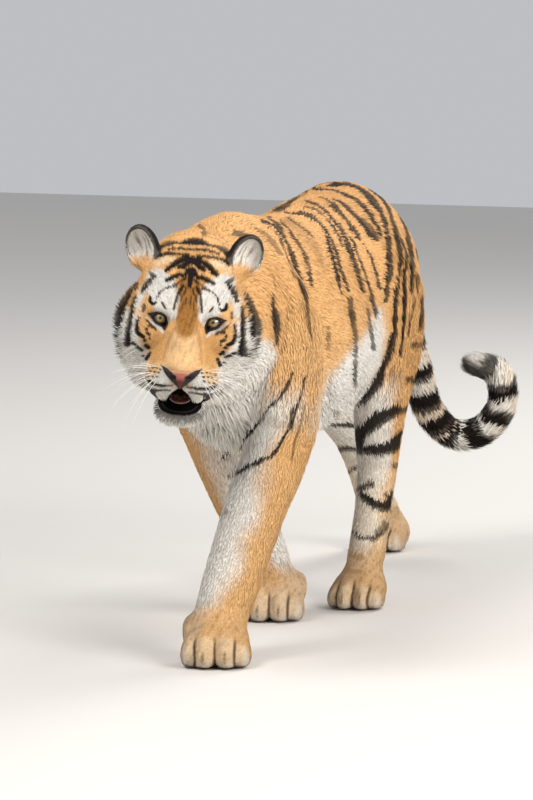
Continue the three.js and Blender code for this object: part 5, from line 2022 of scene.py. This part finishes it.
# %% Grain shared by the materials
def grain_group():
    """A shader group: fine noise as a bump, its scale, stretch and strength given outside."""
    group = bpy.data.node_groups.new("fine_grain", "ShaderNodeTree")
    for name, kind in (("Scale", "Float"), ("Stretch", "Vector"), ("Strength", "Float")):
        group.interface.new_socket(name, in_out="INPUT", socket_type="NodeSocket" + kind)
    group.interface.new_socket("Normal", in_out="OUTPUT", socket_type="NodeSocketVector")
    nodes = group.nodes
    given, result = nodes.new("NodeGroupInput"), nodes.new("NodeGroupOutput")
    place, stretch = nodes.new("ShaderNodeTexCoord"), nodes.new("ShaderNodeVectorMath")
    noise, bump = nodes.new("ShaderNodeTexNoise"), nodes.new("ShaderNodeBump")
    stretch.operation = "MULTIPLY"
    noise.inputs["Detail"].default_value = 3.0
    bump.inputs["Distance"].default_value = 0.002
    for source, output, target, entry in (
            (place, "Object", stretch, 0), (given, "Stretch", stretch, 1),
            (stretch, "Vector", noise, "Vector"), (given, "Scale", noise, "Scale"),
            (noise, "Fac", bump, "Height"), (given, "Strength", bump, "Strength"),
            (bump, "Normal", result, "Normal")):
        group.links.new(source.outputs[output], target.inputs[entry])
    return group


GRAIN = grain_group()
print("group", GRAIN.name)

# %% Materials
PAINT_STAND_IN = (0.5, 0.4, 0.3)  # what a viewer without painted colours shows
COAT_ROUGHNESS = 0.03


def painted_material(name, roughness, specular, coat=0.0, grain=None):
    """A material that takes its colour from the mesh, with a fine grain as bump."""
    made = plain_material(name, PAINT_STAND_IN, roughness)
    nodes, links = made.node_tree.nodes, made.node_tree.links
    shader = nodes["Principled BSDF"]
    paint = nodes.new("ShaderNodeVertexColor")
    paint.layer_name = COLOUR_LAYER
    links.new(paint.outputs["Color"], shader.inputs["Base Color"])
    shader.inputs["Specular IOR Level"].default_value = specular
    shader.inputs["Coat Weight"].default_value = coat
    shader.inputs["Coat Roughness"].default_value = COAT_ROUGHNESS
    if grain:
        use = nodes.new("ShaderNodeGroup")
        use.node_tree = GRAIN
        for socket, value in zip(("Scale", "Stretch", "Strength"), grain):
            use.inputs[socket].default_value = value
        links.new(use.outputs["Normal"], shader.inputs["Normal"])
    return made


MATERIALS = {
    "fur": painted_material("coat_fur", 0.7, 0.06),
    "skin": painted_material("coat_skin", 0.85, 0.06, grain=(900.0, (1.0, 0.35, 0.6), 0.6)),
    "leather": painted_material("bare_leather", 0.5, 0.25, grain=(1400.0, (1.0, 1.0, 1.0), 0.35)),
    "wet": painted_material("wet_surface", 0.18, 0.5, coat=1.0),
    "hair": painted_material("stiff_hair", 0.35, 0.5),
}
print("materials", list(MATERIALS))

# %% [markdown]
# ## Everything rides on the one body
#
# The figure doesn't move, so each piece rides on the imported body. The skin stands in for all the
# nodes of flesh, and the bare parts for their own. The coat is split by part of the body, and
# once more where a piece would get too heavy.

# %% One piece of the coat
BARE_NODES = ("eye_", "nose")
PIECE_TUFTS = 32000
SKIN_SHARE = 0.7


def finish_piece(piece, material):
    piece.data.materials.append(MATERIALS[material])
    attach(piece, "root")


def coat_piece(name, chosen):
    """One piece of the coat, with its colours, softened normals and map."""
    faces = TUFT_FACES[None] + 5 * np.arange(len(chosen))[:, None, None]
    own = tufts[chosen] - tufts[chosen].mean(axis=1, keepdims=True)
    outwards = SKIN_SHARE * root_normal[chosen, None] + (1 - SKIN_SHARE) * own / 6.0
    piece = mesh_object(name, tufts[chosen].reshape(-1, 3), faces.reshape(-1, 3),
                        corner_colours[chosen].reshape(-1, 3),
                        normals=unit(outwards.reshape(-1, 3)))
    spots = (root_map[chosen, None] + PATCH[None])[:, TUFT_FACES.ravel()]
    layer = piece.data.uv_layers.new(name="OFBake")
    layer.uv.foreach_set("vector", spots.astype(np.float32).ravel())
    finish_piece(piece, "fur")


print("tufts in a piece, at most", PIECE_TUFTS)

# %% Skin and coat as objects
JAW_UNDER = -165  # hair lower than this on the face stencil is the jaw's
skin = mesh_object("skin", skin_points, skin_quads, skin_colours)
finish_piece(skin, "skin")
root_local = part_to_head(root)
on_ear = (ear_share(root_local)[0] > 0.5) & on_head
on_jaw = (root_local @ FACE_UP < JAW_UNDER) & on_head & ~on_ear
sets = {"ears": (on_ear, "ear"), "jaw": (on_jaw, "coat_pale")}
for k, name in enumerate(part_names):
    sets[name] = ((root_part == k) & ~on_ear & ~on_jaw, "coat")
coat_counts = {}
for name, (chosen, slot) in sets.items():
    chosen = np.flatnonzero(chosen)
    parts = np.array_split(chosen, max(1, math.ceil(len(chosen) / PIECE_TUFTS)))
    for k, some in enumerate(parts):
        piece_name = "coat_%s_%d" % (name, k + 1)
        coat_piece(piece_name, some)
        coat_counts[piece_name] = len(some)
flesh = [n for n in frame["nodes"] if not n.startswith(BARE_NODES)]
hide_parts(*flesh)
print("tufts of each piece", coat_counts)

# %% Bare parts as objects
for name, (points, faces, colours, material, node) in BARE_PARTS.items():
    piece = mesh_object(name, points, faces, np.clip(colours, 0.002, 0.95))
    finish_piece(piece, material)
    if node:
        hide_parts(node)
print("bare parts", list(BARE_PARTS))
